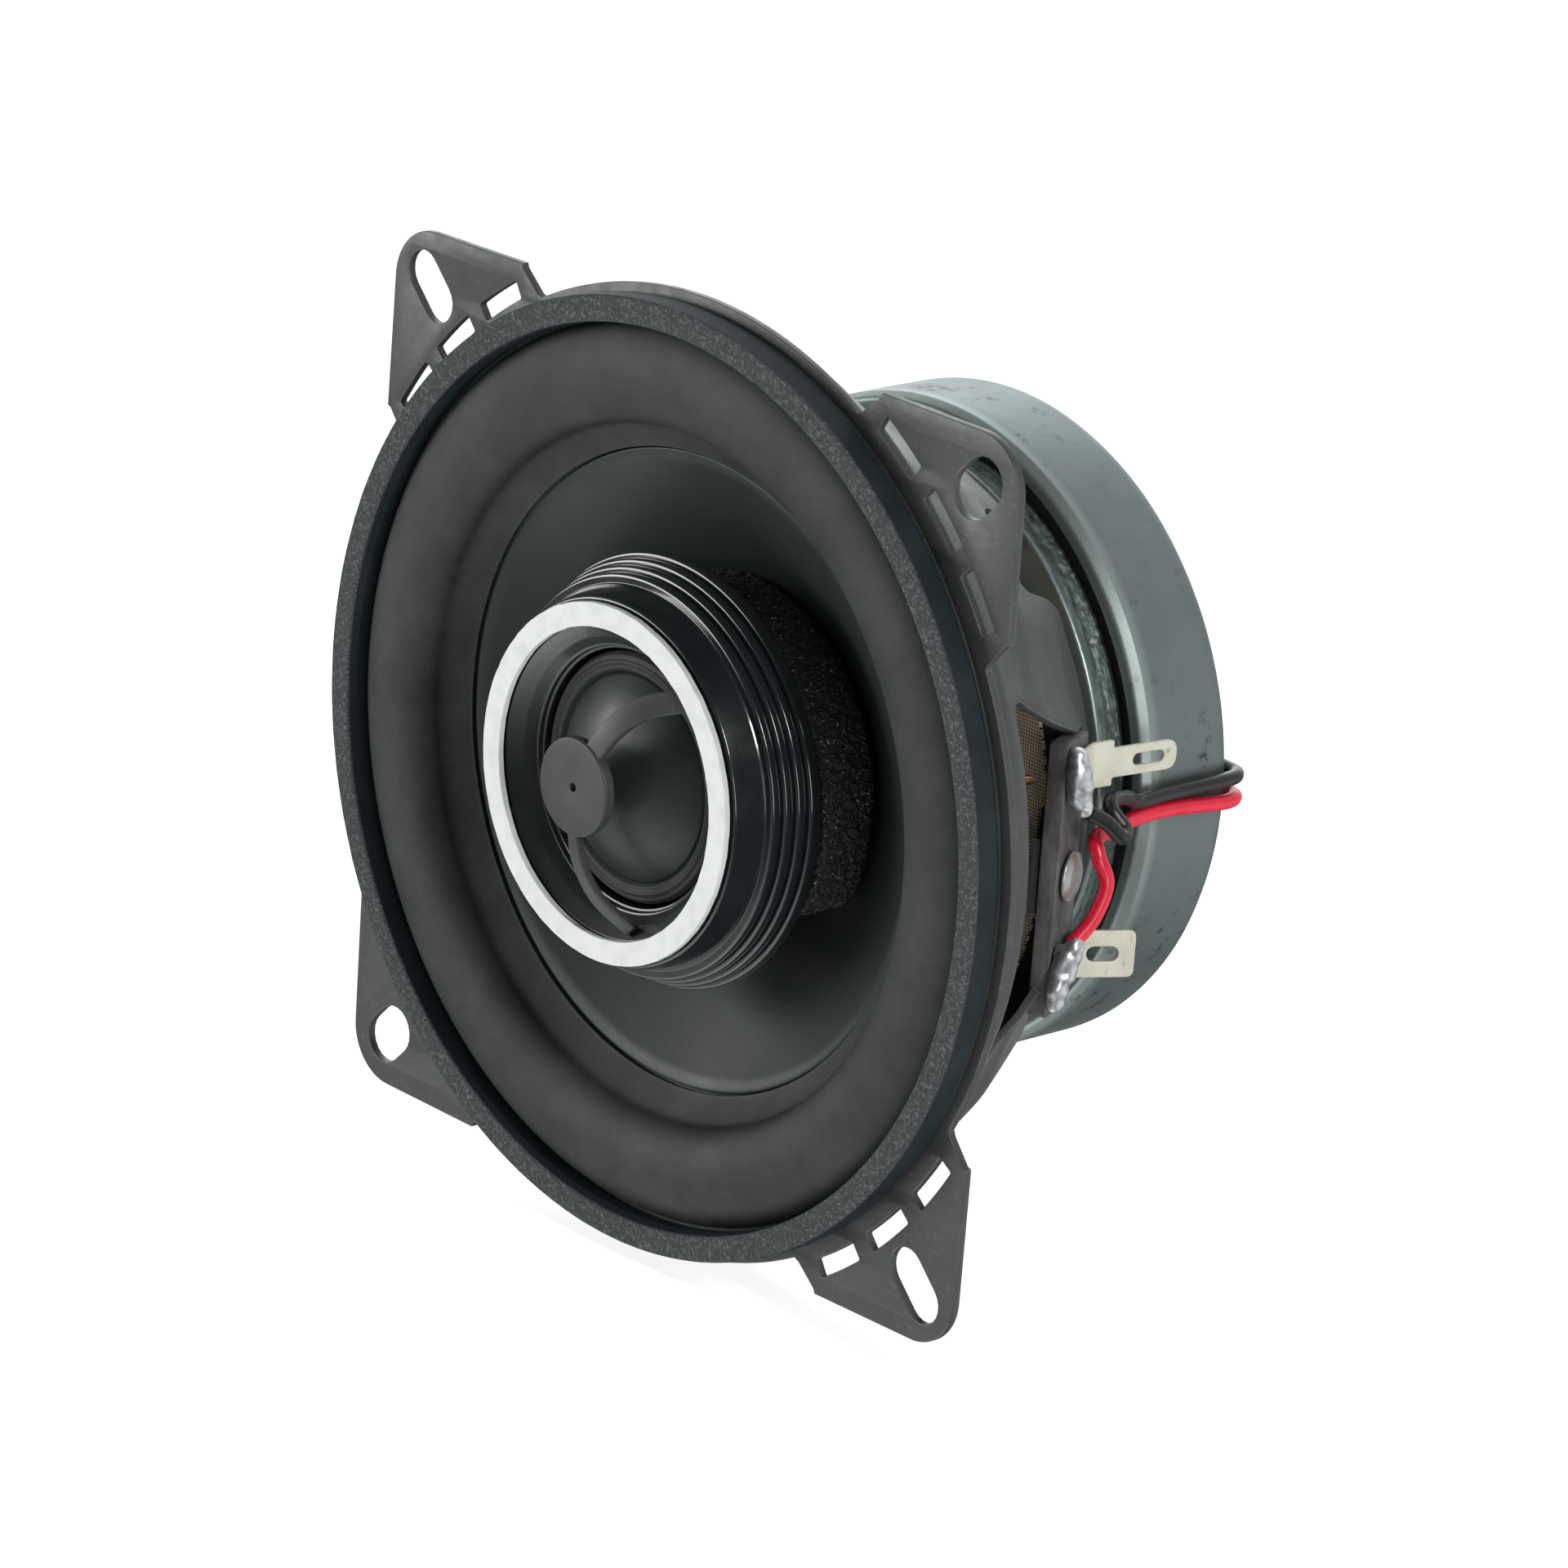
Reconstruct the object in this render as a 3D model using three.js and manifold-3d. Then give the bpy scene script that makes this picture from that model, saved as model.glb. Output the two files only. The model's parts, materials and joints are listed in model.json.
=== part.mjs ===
// A 100 mm (4 inch) coaxial car speaker: stamped basket with four mounting ears, sprung cone,
// ferrite motor in a steel can, and a dome tweeter held in front of the cone on a hollow post.
// Millimetres. The speaker's axis is Y and it faces -Y; +Z is up. The origin is on the axis,
// in the plane of the ears' back faces.
import * as THREE from 'three';
import { mergeVertices } from 'three/addons/utils/BufferGeometryUtils.js';
import Module from 'manifold-3d';

const wasm = await Module();
wasm.setup();

// ---- driving dimensions ----
const FIT = 0.3;                 // glue or air line left between neighbouring pieces
const SHEET = 0.9;               // steel sheet of the basket
const HOLE_PITCH = 82.5;         // square pattern of the mounting holes
const EAR_HALF = 47;             // axis to the straight outer edges of the ears
const EAR_CORNER = EAR_HALF - HOLE_PITCH / 2;
const FLANGE_R = 50.3;
const SEAT_Y = 29.2;             // rear face of the basket, against the top plate
const CONE_R = 36.2;             // where the surround's roll meets the cone
const CREASE_R = 33.3;           // edge of the surround's glue lip on the cone
const CREASE_Y = 1.4;
const CONE_SLOPE = 0.619;        // rearward drop of the cone per millimetre inwards
const FORMER_R = 12.8;           // inside of the 25 mm voice coil former
const FORMER_WALL = 0.3;
const COIL_WALL = 0.35;
const POLE_R = FORMER_R - 0.4;
const PLATE = { r: 31.3, front: SEAT_Y + FIT, rear: 33.4 };
const CAN = { r: 34.9, front: 32.9, rear: 44.6, wall: 0.8, bore: 10 };
const TWEETER = { front: -9.7, trimIn: 16.1, trimOut: 18.6, base: 0.3, flare: 22.5 };
const DOME = { r: 10.8, edge: -5.4, apex: -9.4 };
const POST = { r: 4, bore: 2.7, front: 8.8 };
const LIFT = 0.6;                // the tweeter sits this far above the speaker's axis
const WIRE_D = 1.6;
const STRIP = {                  // terminal strip, flush with the basket's sloping wall
  face: new THREE.Vector3(38.6, 18.5, -2.4), lean: THREE.MathUtils.degToRad(25),
  width: 5.8, length: 28.8, thick: 2,
};
const SEG = { large: 48, medium: 36, small: 24, tiny: 12 };

// ---- finishes ----
const finish = (color, roughness, metalness = 0) =>
  new THREE.MeshStandardMaterial({ color, roughness, metalness });
const blackPaint = finish(0x2c2f30, 0.45, 0.2);
const gasketFoam = finish(0x3c4243, 0.9);
const surroundRubber = finish(0x2b2d2e, 0.75);
const conePlastic = finish(0x26292b, 0.4);
const glossBlack = finish(0x101416, 0.15);
const satinBlack = finish(0x33383a, 0.4);
const whiteRing = finish(0xecedec, 0.5);
const openFoam = finish(0x121313, 1);
const zinc = finish(0x6b7f7c, 0.4, 0.9);
const canSteel = finish(0x70797a, 0.4, 0.85);
const ferrite = finish(0x2a2b2d, 0.7, 0.2);
const phenolic = finish(0x241f1d, 0.7);
const tinned = finish(0xc8c6b6, 0.35, 0.9);
const solder = finish(0xb9bcbe, 0.3, 0.95);
const rivetSteel = finish(0xa9abaa, 0.35, 0.9);
const spiderCloth = finish(0x7a5a34, 0.9);
const kapton = finish(0x8a5a24, 0.4);
const copper = finish(0xb0653a, 0.35, 0.9);
const redPvc = finish(0xc3142b, 0.35);
const blackPvc = finish(0x141414, 0.4);

// ---- geometry helpers ----
const v3 = (x, y, z) => new THREE.Vector3(x, y, z);

function closed(geometry) {
  const bare = geometry.index ? geometry.toNonIndexed() : geometry.clone();
  bare.deleteAttribute('normal');
  bare.deleteAttribute('uv');
  return mergeVertices(bare, 1e-4);
}

// A body turned about Y from a profile of [radius, y] pairs. A profile that isn't on the axis
// at both ends closes on itself.
function turned(profile, segments) {
  const points = profile.map(([r, y]) => new THREE.Vector2(r, y));
  const onAxis = profile[0][0] === 0 && profile.at(-1)[0] === 0;
  if (THREE.ShapeUtils.area(points) < 0) points.reverse();
  if (!onAxis) points.push(points[0].clone());
  return closed(new THREE.LatheGeometry(points, segments));
}

// A flat plate whose shape is drawn in X-Z and which runs from y0 to y1.
function plate(shape, y0, y1, curveSegments = 3) {
  const options = { depth: y1 - y0, bevelEnabled: false, curveSegments };
  const geometry = new THREE.ExtrudeGeometry(shape, options);
  return closed(geometry.rotateX(Math.PI / 2).translate(0, y1, 0));
}

function solid(geometry) {
  const clean = closed(geometry);
  const vertProperties = new Float32Array(clean.attributes.position.array);
  const triVerts = new Uint32Array(clean.index.array);
  return new wasm.Manifold(new wasm.Mesh({ numProp: 3, vertProperties, triVerts }));
}

function geometryOf(manifold) {
  const mesh = manifold.getMesh();
  const geometry = new THREE.BufferGeometry();
  geometry.setAttribute('position', new THREE.BufferAttribute(new Float32Array(mesh.vertProperties), 3));
  geometry.setIndex(Array.from(mesh.triVerts));
  return geometry;
}

const joined = (...geometries) =>
  geometryOf(geometries.map(solid).reduce((whole, piece) => whole.add(piece)));
const cut = (geometry, ...tools) =>
  geometryOf(tools.map(solid).reduce((whole, tool) => whole.subtract(tool), solid(geometry)));

// A cylinder along Y.
const pin = (r, y0, y1, segments = SEG.tiny) =>
  new THREE.CylinderGeometry(r, r, y1 - y0, segments).translate(0, (y0 + y1) / 2, 0);

// A round cord along a smooth curve through the given points.
function cord(points, diameter, steps, sides = 8) {
  const section = new THREE.Shape();
  for (let i = 0; i < sides; i += 1) {
    const a = (i / sides) * Math.PI * 2;
    const [x, y] = [Math.cos(a) * diameter / 2, Math.sin(a) * diameter / 2];
    if (i === 0) section.moveTo(x, y);
    else section.lineTo(x, y);
  }
  section.closePath();
  const extrudePath = new THREE.CatmullRomCurve3(points, false, 'centripetal');
  return closed(new THREE.ExtrudeGeometry(section, { steps, extrudePath, bevelEnabled: false }));
}

const speaker = new THREE.Group();
function add(name, geometry, material, parent = speaker) {
  const mesh = new THREE.Mesh(geometry, material);
  mesh.name = name;
  parent.add(mesh);
  return mesh;
}

// ---- basket ----
const EARS = [                   // quadrant angle in degrees, slot length and width
  { angle: 45, slot: 7.2, width: 5.2 },
  { angle: 135, slot: 8.2, width: 4.6 },
  { angle: 225, slot: 7.2, width: 5.2 },
  { angle: 315, slot: 8.2, width: 4.6 },
];
const EAR_SIDE = 26.7;           // where an ear's straight edge turns down to the flange
const EAR_ROOT = [24.4, 44.6];
const EAR_WINDOW = { inner: 51.1, outer: 53, half: 3.5, pitch: 9.7 };   // degrees along the arc

function arcWindow({ inner, outer, half }, middle) {
  const [from, to] = [middle - half, middle + half].map(THREE.MathUtils.degToRad);
  const path = new THREE.Path();
  path.absarc(0, 0, outer, from, to);
  path.absarc(0, 0, inner, to, from, true);
  return path;
}

function slotPath(cx, length, width) {
  const [half, r] = [(length - width) / 2, width / 2];
  const path = new THREE.Path();
  path.moveTo(cx - half, -r).lineTo(cx + half, -r);
  path.absarc(cx + half, 0, r, -Math.PI / 2, Math.PI / 2);
  path.lineTo(cx - half, r);
  path.absarc(cx - half, 0, r, Math.PI / 2, Math.PI * 1.5);
  return path;
}

// One ear, drawn with its diagonal along +X and then turned to its quadrant.
function ear({ angle, slot, width }) {
  const turn = ([x, z]) => new THREE.Vector2((x + z) / Math.SQRT2, (z - x) / Math.SQRT2);
  const holeAt = HOLE_PITCH / Math.SQRT2;
  const inner = FLANGE_R - 1.5;
  const shape = new THREE.Shape();
  const side = turn([EAR_SIDE, EAR_HALF]);
  const root = turn(EAR_ROOT);
  const foot = Math.atan2(root.y, root.x);
  shape.moveTo(inner * Math.cos(foot), -inner * Math.sin(foot));
  shape.lineTo(root.x, -root.y).lineTo(side.x, -side.y);
  shape.absarc(holeAt, 0, EAR_CORNER, -Math.PI / 4, Math.PI / 4);
  shape.lineTo(side.x, side.y).lineTo(root.x, root.y);
  shape.lineTo(inner * Math.cos(foot), inner * Math.sin(foot));
  shape.absarc(0, 0, inner, foot, -foot, true);
  shape.holes.push(slotPath(holeAt, slot, width));
  for (const row of [-1, 0, 1]) shape.holes.push(arcWindow(EAR_WINDOW, row * EAR_WINDOW.pitch));
  const geometry = plate(shape, -SHEET, 0);
  return geometry.rotateY(-THREE.MathUtils.degToRad(angle));
}

const BOWL = [                   // outside of the basket wall, front to back
  [46.6, 0], [46.1, 3.6], [43.2, 11.5], [40.6, 16], [38.2, 20], [35.1, 23.7], [32.6, 25.9], [28.8, SEAT_Y],
];
const SEAT_BORE = 15;
const LEDGE = { y: 18.1, inner: 31.4, outer: 36.5, legOuter: 39 };   // shelf for the spider

function bowl() {
  const inside = BOWL.slice(1, -1).map(([r, y]) => [r - SHEET, y - SHEET / 3]).reverse();
  return turned([
    [45.7, -SHEET], [FLANGE_R, -SHEET], [FLANGE_R, 0], ...BOWL, [SEAT_BORE, SEAT_Y],
    [SEAT_BORE, SEAT_Y - SHEET], [28.2, SEAT_Y - SHEET], ...inside,
  ], SEG.large);
}

const WINDOW = [[19.6, 4.9], [14.6, 13], [11.4, 19.6], [8.6, 27.4]];   // half width, y

function sideWindow(angle) {
  const shape = new THREE.Shape();
  WINDOW.forEach(([w, y], i) => (i ? shape.lineTo(w, y) : shape.moveTo(w, y)));
  [...WINDOW].reverse().forEach(([w, y]) => shape.lineTo(-w, y));
  const geometry = new THREE.ExtrudeGeometry(shape, { depth: 33, bevelEnabled: false });
  return geometry.translate(0, 0, 27).rotateY(Math.PI / 2 - THREE.MathUtils.degToRad(angle));
}

// The opening behind an ear, which parts the wall there into two legs and bares the top plate's edge.
const CORNER_WINDOW = { half: 4.9, front: 14, inner: 27.4 };
function cornerWindow(angle) {
  const { half, front, inner } = CORNER_WINDOW;
  const box = new THREE.BoxGeometry(2 * half, 20, 30).translate(0, front + 10, inner + 15);
  return box.rotateY(Math.PI / 2 - THREE.MathUtils.degToRad(angle));
}

// Places a shape made around the strip's outer face: +X out of the face, +Y to the rear.
const onStrip = (geometry) =>
  geometry.rotateZ(STRIP.lean).translate(STRIP.face.x, STRIP.face.y, STRIP.face.z);
const stripBox = (x0, x1, y0, y1, z0, z1) =>
  onStrip(new THREE.BoxGeometry(x1 - x0, y1 - y0, z1 - z0)
    .translate((x0 + x1) / 2, (y0 + y1) / 2, (z0 + z1) / 2));

const RIVET = { r: 1.5, head: 2.6 };
const SEAT_RIVETS = { count: 4, at: 22, r: 1.6, head: 2.8 };
const seatPlaces = Array.from({ length: SEAT_RIVETS.count }, (_, i) => {
  const a = (i + 0.5) * Math.PI * 2 / SEAT_RIVETS.count;
  return [Math.cos(a) * SEAT_RIVETS.at, Math.sin(a) * SEAT_RIVETS.at];
});
const rivetHole = (r) => onStrip(pin(r, -6, 6, 16).rotateZ(Math.PI / 2));
const seatHole = ([x, z]) => pin(SEAT_RIVETS.r + FIT, SEAT_Y - 3, PLATE.rear + 1).translate(x, 0, z);

function basket() {
  const { y, inner, outer, legOuter } = LEDGE;
  const shelf = (r) => turned([[inner, y], [r, y], [r, y + SHEET], [inner, y + SHEET]], SEG.large);
  const tabDepth = -STRIP.thick - FIT;
  const tab = stripBox(tabDepth - SHEET, tabDepth, -2.4, 3.4, -4, 4);
  const { width, length, thick } = STRIP;
  const half = { w: width / 2 + FIT, l: length / 2 + FIT };
  const stripRoom = stripBox(-thick - FIT, 6, -half.w, half.w, -half.l, half.l);
  const windows = [...[0, 90, 180, 270].map(sideWindow), ...[45, 135, 225, 315].map(cornerWindow)];
  const legs = cut(joined(bowl(), shelf(legOuter)), ...windows);
  const shell = joined(legs, shelf(outer), tab, ...EARS.map(ear));
  return cut(shell, stripRoom, rivetHole(RIVET.r + FIT), ...seatPlaces.map(seatHole));
}

// ---- cone assembly ----
const coneY = (r) => CREASE_Y + (CREASE_R - r) * CONE_SLOPE;

const surround = () => {
  const [out, half, rise, skin] = [46.5, (46.5 - CONE_R) / 2, 2.9, 0.55];
  const roll = (thin, steps) => Array.from({ length: steps + 1 }, (_, i) => {
    const a = (i / steps) * Math.PI;
    const y = THREE.MathUtils.lerp(-1.3, -1.0, i / steps);
    return [out - half + (half - thin) * Math.cos(a), y - (rise - thin) * Math.sin(a)];
  });
  return turned([
    [49.2, -1.6], ...roll(0, 8), [CREASE_R + 0.2, CREASE_Y - 0.15], [CREASE_R + 0.3, CREASE_Y + 0.25],
    [CONE_R + 0.3, -0.25], ...roll(skin, 8).reverse(), [49.2, -1.2],
  ], SEG.medium);
};

const cone = () => {
  const [rim, skin, neck] = [CONE_R + 0.2, 0.9, FORMER_R + FORMER_WALL + FIT];
  return turned([
    [rim, 0.2], [CREASE_R + 0.1, 2.1], [CREASE_R - 0.1, CREASE_Y + 0.1], [22, coneY(22)], [neck, coneY(neck)],
    [neck, 15.6], [neck + skin, 15.6], [neck + skin, coneY(neck + skin) + skin], [22, coneY(22) + skin + 0.2],
    [CREASE_R + 0.1, 3.0], [rim, 1.1],
  ], SEG.medium);
};

const tube = (r, wall, y0, y1, segments) =>
  turned([[r, y0], [r + wall, y0], [r + wall, y1], [r, y1]], segments);

const spider = () => {
  const [inner, outer, waves, height, cloth] = [FORMER_R + FORMER_WALL + FIT, 36.2, 4, 1.1, 0.5];
  const count = waves * 2 + 1;
  const front = Array.from({ length: count }, (_, i) => {
    const r = THREE.MathUtils.lerp(inner + 1.2, LEDGE.inner - 1.2, i / (count - 1));
    return [r, LEDGE.y - FIT - cloth + (i % 2 ? -height : height * 0.4)];
  });
  const foot = LEDGE.y - FIT - cloth;
  const top = [[inner, foot], ...front, [LEDGE.inner - 0.3, foot], [outer, foot]];
  const whole = turned([...top, ...top.map(([r, y]) => [r, y + cloth]).reverse()], SEG.medium);
  return cut(whole, stripBox(-4.2, 3, -3, 4, -4.4, 4.4));
};

// ---- motor ----
const topPlate = () => cut(
  turned([[14.1, PLATE.front], [PLATE.r, PLATE.front], [PLATE.r, PLATE.rear], [14.1, PLATE.rear]], SEG.medium),
  ...seatPlaces.map(seatHole),
);
const MAGNET = { inner: 16, outer: 33.2, front: PLATE.rear + FIT, rear: 41.2 };
const YOKE = { r: 31, front: MAGNET.rear + FIT, rear: 43.5, bore: POST.r + FIT };
const yoke = () => turned([
  [YOKE.bore, 28.9], [POLE_R, 28.9], [POLE_R, YOKE.front], [YOKE.r, YOKE.front], [YOKE.r, YOKE.rear],
  [YOKE.bore, YOKE.rear],
], SEG.medium);
const can = () => {
  const { r, front, rear, wall, bore } = CAN;
  return turned([
    [r - wall, front], [r, front], [r, rear - 1.2], [r - 1.2, rear], [bore, rear], [bore, rear - wall * 0.85],
    [r - wall, rear - wall * 0.85],
  ], SEG.large);
};
const seatRivet = ([x, z]) => {
  const { r, head } = SEAT_RIVETS;
  const top = SEAT_Y - SHEET - FIT;
  return turned([[0, top - 0.9], [head, top - 0.6], [head, top], [r, top], [r, PLATE.rear - 0.1],
    [0, PLATE.rear - 0.1]], SEG.tiny).translate(x, 0, z);
};

// ---- tweeter ----
const RIBS = { from: 20.3, front: -5.35, step: 0.55, pitch: 1.2, count: 4 };
const housing = () => {
  const { trimIn, trimOut, flare } = TWEETER;
  const land = TWEETER.front + 0.7 + FIT;
  const ribs = Array.from({ length: RIBS.count }, (_, i) => {
    const y = RIBS.front + RIBS.pitch * i;
    return [[RIBS.from + RIBS.step * i, y], [RIBS.from + RIBS.step * (i + 1), y]];
  }).flat();
  return turned([
    [trimIn, land], [trimOut + 0.1, land], ...ribs, [flare, -0.3], [19.6, -0.3], [19.6, -4.3], [14.4, -4.6],
    [13.3, -5.1], [13.4, -5.9], [14.3, -7.4],
  ], SEG.medium);
};
const BASE = { rim: 19.3, cup: 17, rear: 6, wall: 0.9 };
const tweeterBase = () => {
  const { rim, cup, rear, wall } = BASE;
  return turned([
    [rim, -2], [rim, TWEETER.base], [cup, TWEETER.base], [cup, rear], [6.6, rear], [6.6, POST.front - FIT],
    [POST.bore, POST.front - FIT], [POST.bore, rear - wall], [cup - wall, rear - wall], [cup - wall, -2],
  ], SEG.small);
};
const domeArc = (r, edge, apex, steps) => {
  const height = edge - apex;
  const sphere = (r * r + height * height) / (2 * height);
  const spread = Math.asin(r / sphere);
  return Array.from({ length: steps + 1 }, (_, i) => {
    const a = spread * (1 - i / steps);
    return [i === steps ? 0 : sphere * Math.sin(a), apex + sphere * (1 - Math.cos(a))];
  });
};
const dome = () => {
  const skin = 0.4;
  const { r, edge, apex } = DOME;
  const outside = domeArc(r, edge, apex, 6);
  return turned([...outside.reverse(), ...domeArc(r, edge + skin, apex + skin, 6)], SEG.small);
};
const suspension = () => {
  const { r, edge } = DOME;
  return turned([
    [r + FIT, edge - 0.1], [r + 1.1, edge - 0.6], [12.9, edge + 0.1], [12.9, edge + 0.5],
    [r + 1.1, edge - 0.2], [r + FIT, edge + 0.3],
  ], SEG.small);
};
const tweeterYoke = () => turned([
  [11.2, -4.4], [12.7, -4.4], [12.7, 0.2], [3.2, 0.2], [3.2, -1], [11.2, -1],
], SEG.small);

// One arm of the phase plug: a bar along an arched path from the disc to the recess wall.
function arm(points, width, depth) {
  const half = width / 2;
  const section = new THREE.Shape([
    new THREE.Vector2(-depth, -half), new THREE.Vector2(0, -half),
    new THREE.Vector2(0, half), new THREE.Vector2(-depth, half),
  ]);
  const steps = 10;
  const path = new THREE.CatmullRomCurve3(points);
  const rows = Array.from({ length: steps + 1 }, (_, i) => {
    const at = path.getPoint(i / steps);
    const along = path.getTangent(i / steps);
    const across = v3(0, -1, 0).cross(along).normalize();
    return section.getPoints().map((p) => at.clone().addScaledVector(across, p.y).add(v3(0, -p.x, 0)));
  });
  const quads = [];
  const face = (a, b, c, d) => quads.push(a, c, b, a, d, c);
  for (let i = 0; i < steps; i += 1) {
    for (let j = 0; j < 4; j += 1) {
      const k = (j + 1) % 4;
      face(rows[i][j], rows[i][k], rows[i + 1][k], rows[i + 1][j]);
    }
  }
  face(rows[0][3], rows[0][2], rows[0][1], rows[0][0]);
  face(...rows[steps]);
  return new THREE.BufferGeometry().setFromPoints(quads);
}

const PLUG = { r: 5.1, front: -13.6, thick: 1.2, hole: 0.45, rise: 0.4 };
const polar = (r, degrees, y) => {
  const a = THREE.MathUtils.degToRad(degrees);
  return v3(r * Math.cos(a), y, r * Math.sin(a));
};
const phasePlug = () => {
  const { r, front, thick, hole, rise } = PLUG;
  const disc = turned([[hole, front], [r, front], [r, front + thick], [hole, front + thick]], SEG.small);
  const upper = arm([polar(3.6, 62, front + 0.1), polar(8, 60, front + 0.7), polar(12, 55, front + 2.3),
    polar(14.3, 50, front + 4)], 2.4, 1);
  const lower = arm([polar(3.6, -92, front + 0.1), polar(8, -88, front + 0.8), polar(12, -82, front + 2.4),
    polar(14.6, -76, front + 4.2)], 1.5, 1);
  return joined(disc, upper, lower).translate(0, 0, rise);
};
const CAPACITOR = { r: 2.1, length: 11, y: 2.7, z: 7 };
const capacitor = () => new THREE.CylinderGeometry(CAPACITOR.r, CAPACITOR.r, CAPACITOR.length, SEG.tiny)
  .rotateZ(Math.PI / 2).translate(0, CAPACITOR.y, CAPACITOR.z);
const foamRing = () => {
  const [inner, outer, front] = [BASE.cup + FIT, 21.5, TWEETER.base + FIT];
  const behind = (r) => coneY(r + LIFT) - FIT - 0.1;
  return turned([[inner, front], [outer, front], [outer, behind(outer)], [inner, behind(inner)]], SEG.medium);
};
const postNut = () => cut(pin(6.4, YOKE.rear + FIT, YOKE.rear + 2.3, 6), pin(POST.r + FIT, 40, 50, SEG.tiny));
const post = () => tube(POST.bore, POST.r - POST.bore, POST.front, YOKE.rear + 2.3, 16);

// ---- terminals ----
const strip = () => {
  const { width, length, thick } = STRIP;
  const body = stripBox(-thick, 0, -width / 2, width / 2, -length / 2, length / 2);
  return cut(body, rivetHole(RIVET.r + FIT));
};
const rivet = () => onStrip(turned([
  [0, 0.9 + FIT], [1.6, 0.75 + FIT], [RIVET.head, 0.3 + FIT], [RIVET.head, FIT], [RIVET.r, FIT],
  [RIVET.r, -3.5], [0, -3.5],
], 16).rotateZ(-Math.PI / 2));

const LUG_T = 0.5;
// A tinned lug: a foot on the strip and a tab that runs to the rear, leaning out by `lean`.
function lug({ z, length, width, root, rootLength, lean, drop, round, slot }) {
  const foot = stripBox(FIT, FIT + LUG_T, 0.1, STRIP.width / 2 + 0.1, z - root / 2, z + root / 2);
  const shape = new THREE.Shape();
  const [w, s, c] = [width / 2, root / 2, round];
  shape.moveTo(-0.2, -s).lineTo(rootLength, -s).lineTo(rootLength, -w).lineTo(length - c, -w);
  shape.lineTo(length - c * 0.3, -w + c * 0.3).lineTo(length, -w + c).lineTo(length, w - c);
  shape.lineTo(length - c * 0.3, w - c * 0.3).lineTo(length - c, w).lineTo(rootLength, w);
  shape.lineTo(rootLength, s).lineTo(-0.2, s).closePath();
  shape.holes.push(slotPath(slot.at, slot.length, slot.width));
  const tab = closed(new THREE.ExtrudeGeometry(shape, { depth: LUG_T, bevelEnabled: false, curveSegments: 4 }));
  // the shape's X runs to the rear, its Y along Z, and its thickness out along X
  const toRear = new THREE.Matrix4().makeBasis(v3(0, 1, 0), v3(0, 0, 1), v3(1, 0, 0));
  tab.applyMatrix4(toRear).rotateX(-THREE.MathUtils.degToRad(drop)).rotateZ(-THREE.MathUtils.degToRad(lean));
  const edge = v3(FIT + 0.2, STRIP.width / 2, z).applyAxisAngle(v3(0, 0, 1), STRIP.lean).add(STRIP.face);
  return joined(foot, tab.translate(edge.x, edge.y, edge.z));
}
const LUGS = {
  lug_small: {
    z: 10.8, length: 10.3, width: 3.1, root: 4.8, rootLength: 2.6, lean: 10, drop: -1, round: 1.3,
    slot: { at: 6.9, length: 3.8, width: 1.3 },
  },
  lug_large: {
    z: -9.1, length: 6.7, width: 5, root: 5, rootLength: 3, lean: 20, drop: 3.5, round: 0.8,
    slot: { at: 3.1, length: 3.6, width: 1.6 },
  },
};
const blob = (y, z, height) => onStrip(new THREE.SphereGeometry(1, 10, 7).scale(1.0, 1.2, height / 2)
  .translate(FIT + 1.1, y, z));

// ---- leads ----
const CAN_SIDE = CAN.r + FIT + WIRE_D / 2;
const CAN_BACK = CAN.rear + FIT + WIRE_D / 2;
const POST_REAR = YOKE.rear + 2.3;
// A tweeter wire: from its tab over the can's side and back, then forward through the hollow post.
const tweeterLead = (start, z, drop, side) => cord([
  ...start, v3(CAN_SIDE + 0.3, 30, z), v3(CAN_SIDE, 34.5, z), v3(CAN_SIDE, 39, z - drop / 2),
  v3(CAN_SIDE, 43.1, z - drop), v3(CAN_SIDE - 0.6, CAN.rear + 0.4, z - drop),
  v3(CAN_SIDE - 2.2, CAN_BACK, z - drop), v3(28, CAN_BACK, z - drop),
  v3(18, CAN_BACK, side * 1.4 + 0.5), v3(9.5, CAN_BACK + 0.6, side * 1.2),
  v3(4.5, POST_REAR + 1.3, side * 1.15), v3(1.1, POST_REAR + 1.1, side * 1.05),
  v3(0, POST_REAR - 2, side * 1.05), v3(0, 36, side * 1.05), v3(0, 22, side * 1.05), v3(0, POST.front, side * 1.05),
], WIRE_D, 48, 6);
const redStart = [v3(41.2, 17.3, -8.7), v3(41.5, 19.8, -6.2), v3(41.2, 21.5, -3), v3(40.4, 20.9, -0.4),
  v3(39.2, 21.6, 1.2), v3(38, 25.5, 1.1)];
const blackStart = [v3(41, 18.5, 4.9), v3(41.8, 20.2, 3.8), v3(42.4, 21.8, 2.2), v3(41.6, 23, 2.6),
  v3(40.2, 22.4, 4.2), v3(39, 23.6, 4.8), v3(37.6, 27, 4)];
const tinsel = (z) => cord([v3(36.2, 14.8, z), v3(33.5, 12.8, z), v3(28, 12, z * 0.8), v3(21, 13, z * 0.55),
  v3(15, 15.3, z * 0.3)], 1, 10, 6);

// ---- assembly ----
add('basket', basket(), blackPaint);
add('surround', surround(), surroundRubber);
add('gasket_ring', turned([[46.7, -1.9], [46.7, -4.3], [47.1, -4.74], [49.2, -4.74], [49.5, -4.4], [49.5, -1.9]],
  SEG.large), gasketFoam);
add('cone', cone(), conePlastic);
add('voice_coil_former', tube(FORMER_R, FORMER_WALL, 13.2, 36, SEG.small), kapton);
add('voice_coil', tube(FORMER_R + FORMER_WALL + FIT, COIL_WALL, 27.9, 34.9, SEG.small), copper);
add('spider', spider(), spiderCloth);
add('top_plate', topPlate(), zinc);
add('magnet_ring', tube(MAGNET.inner, MAGNET.outer - MAGNET.inner, MAGNET.front, MAGNET.rear, SEG.medium), ferrite);
add('pole_yoke', yoke(), zinc);
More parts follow.
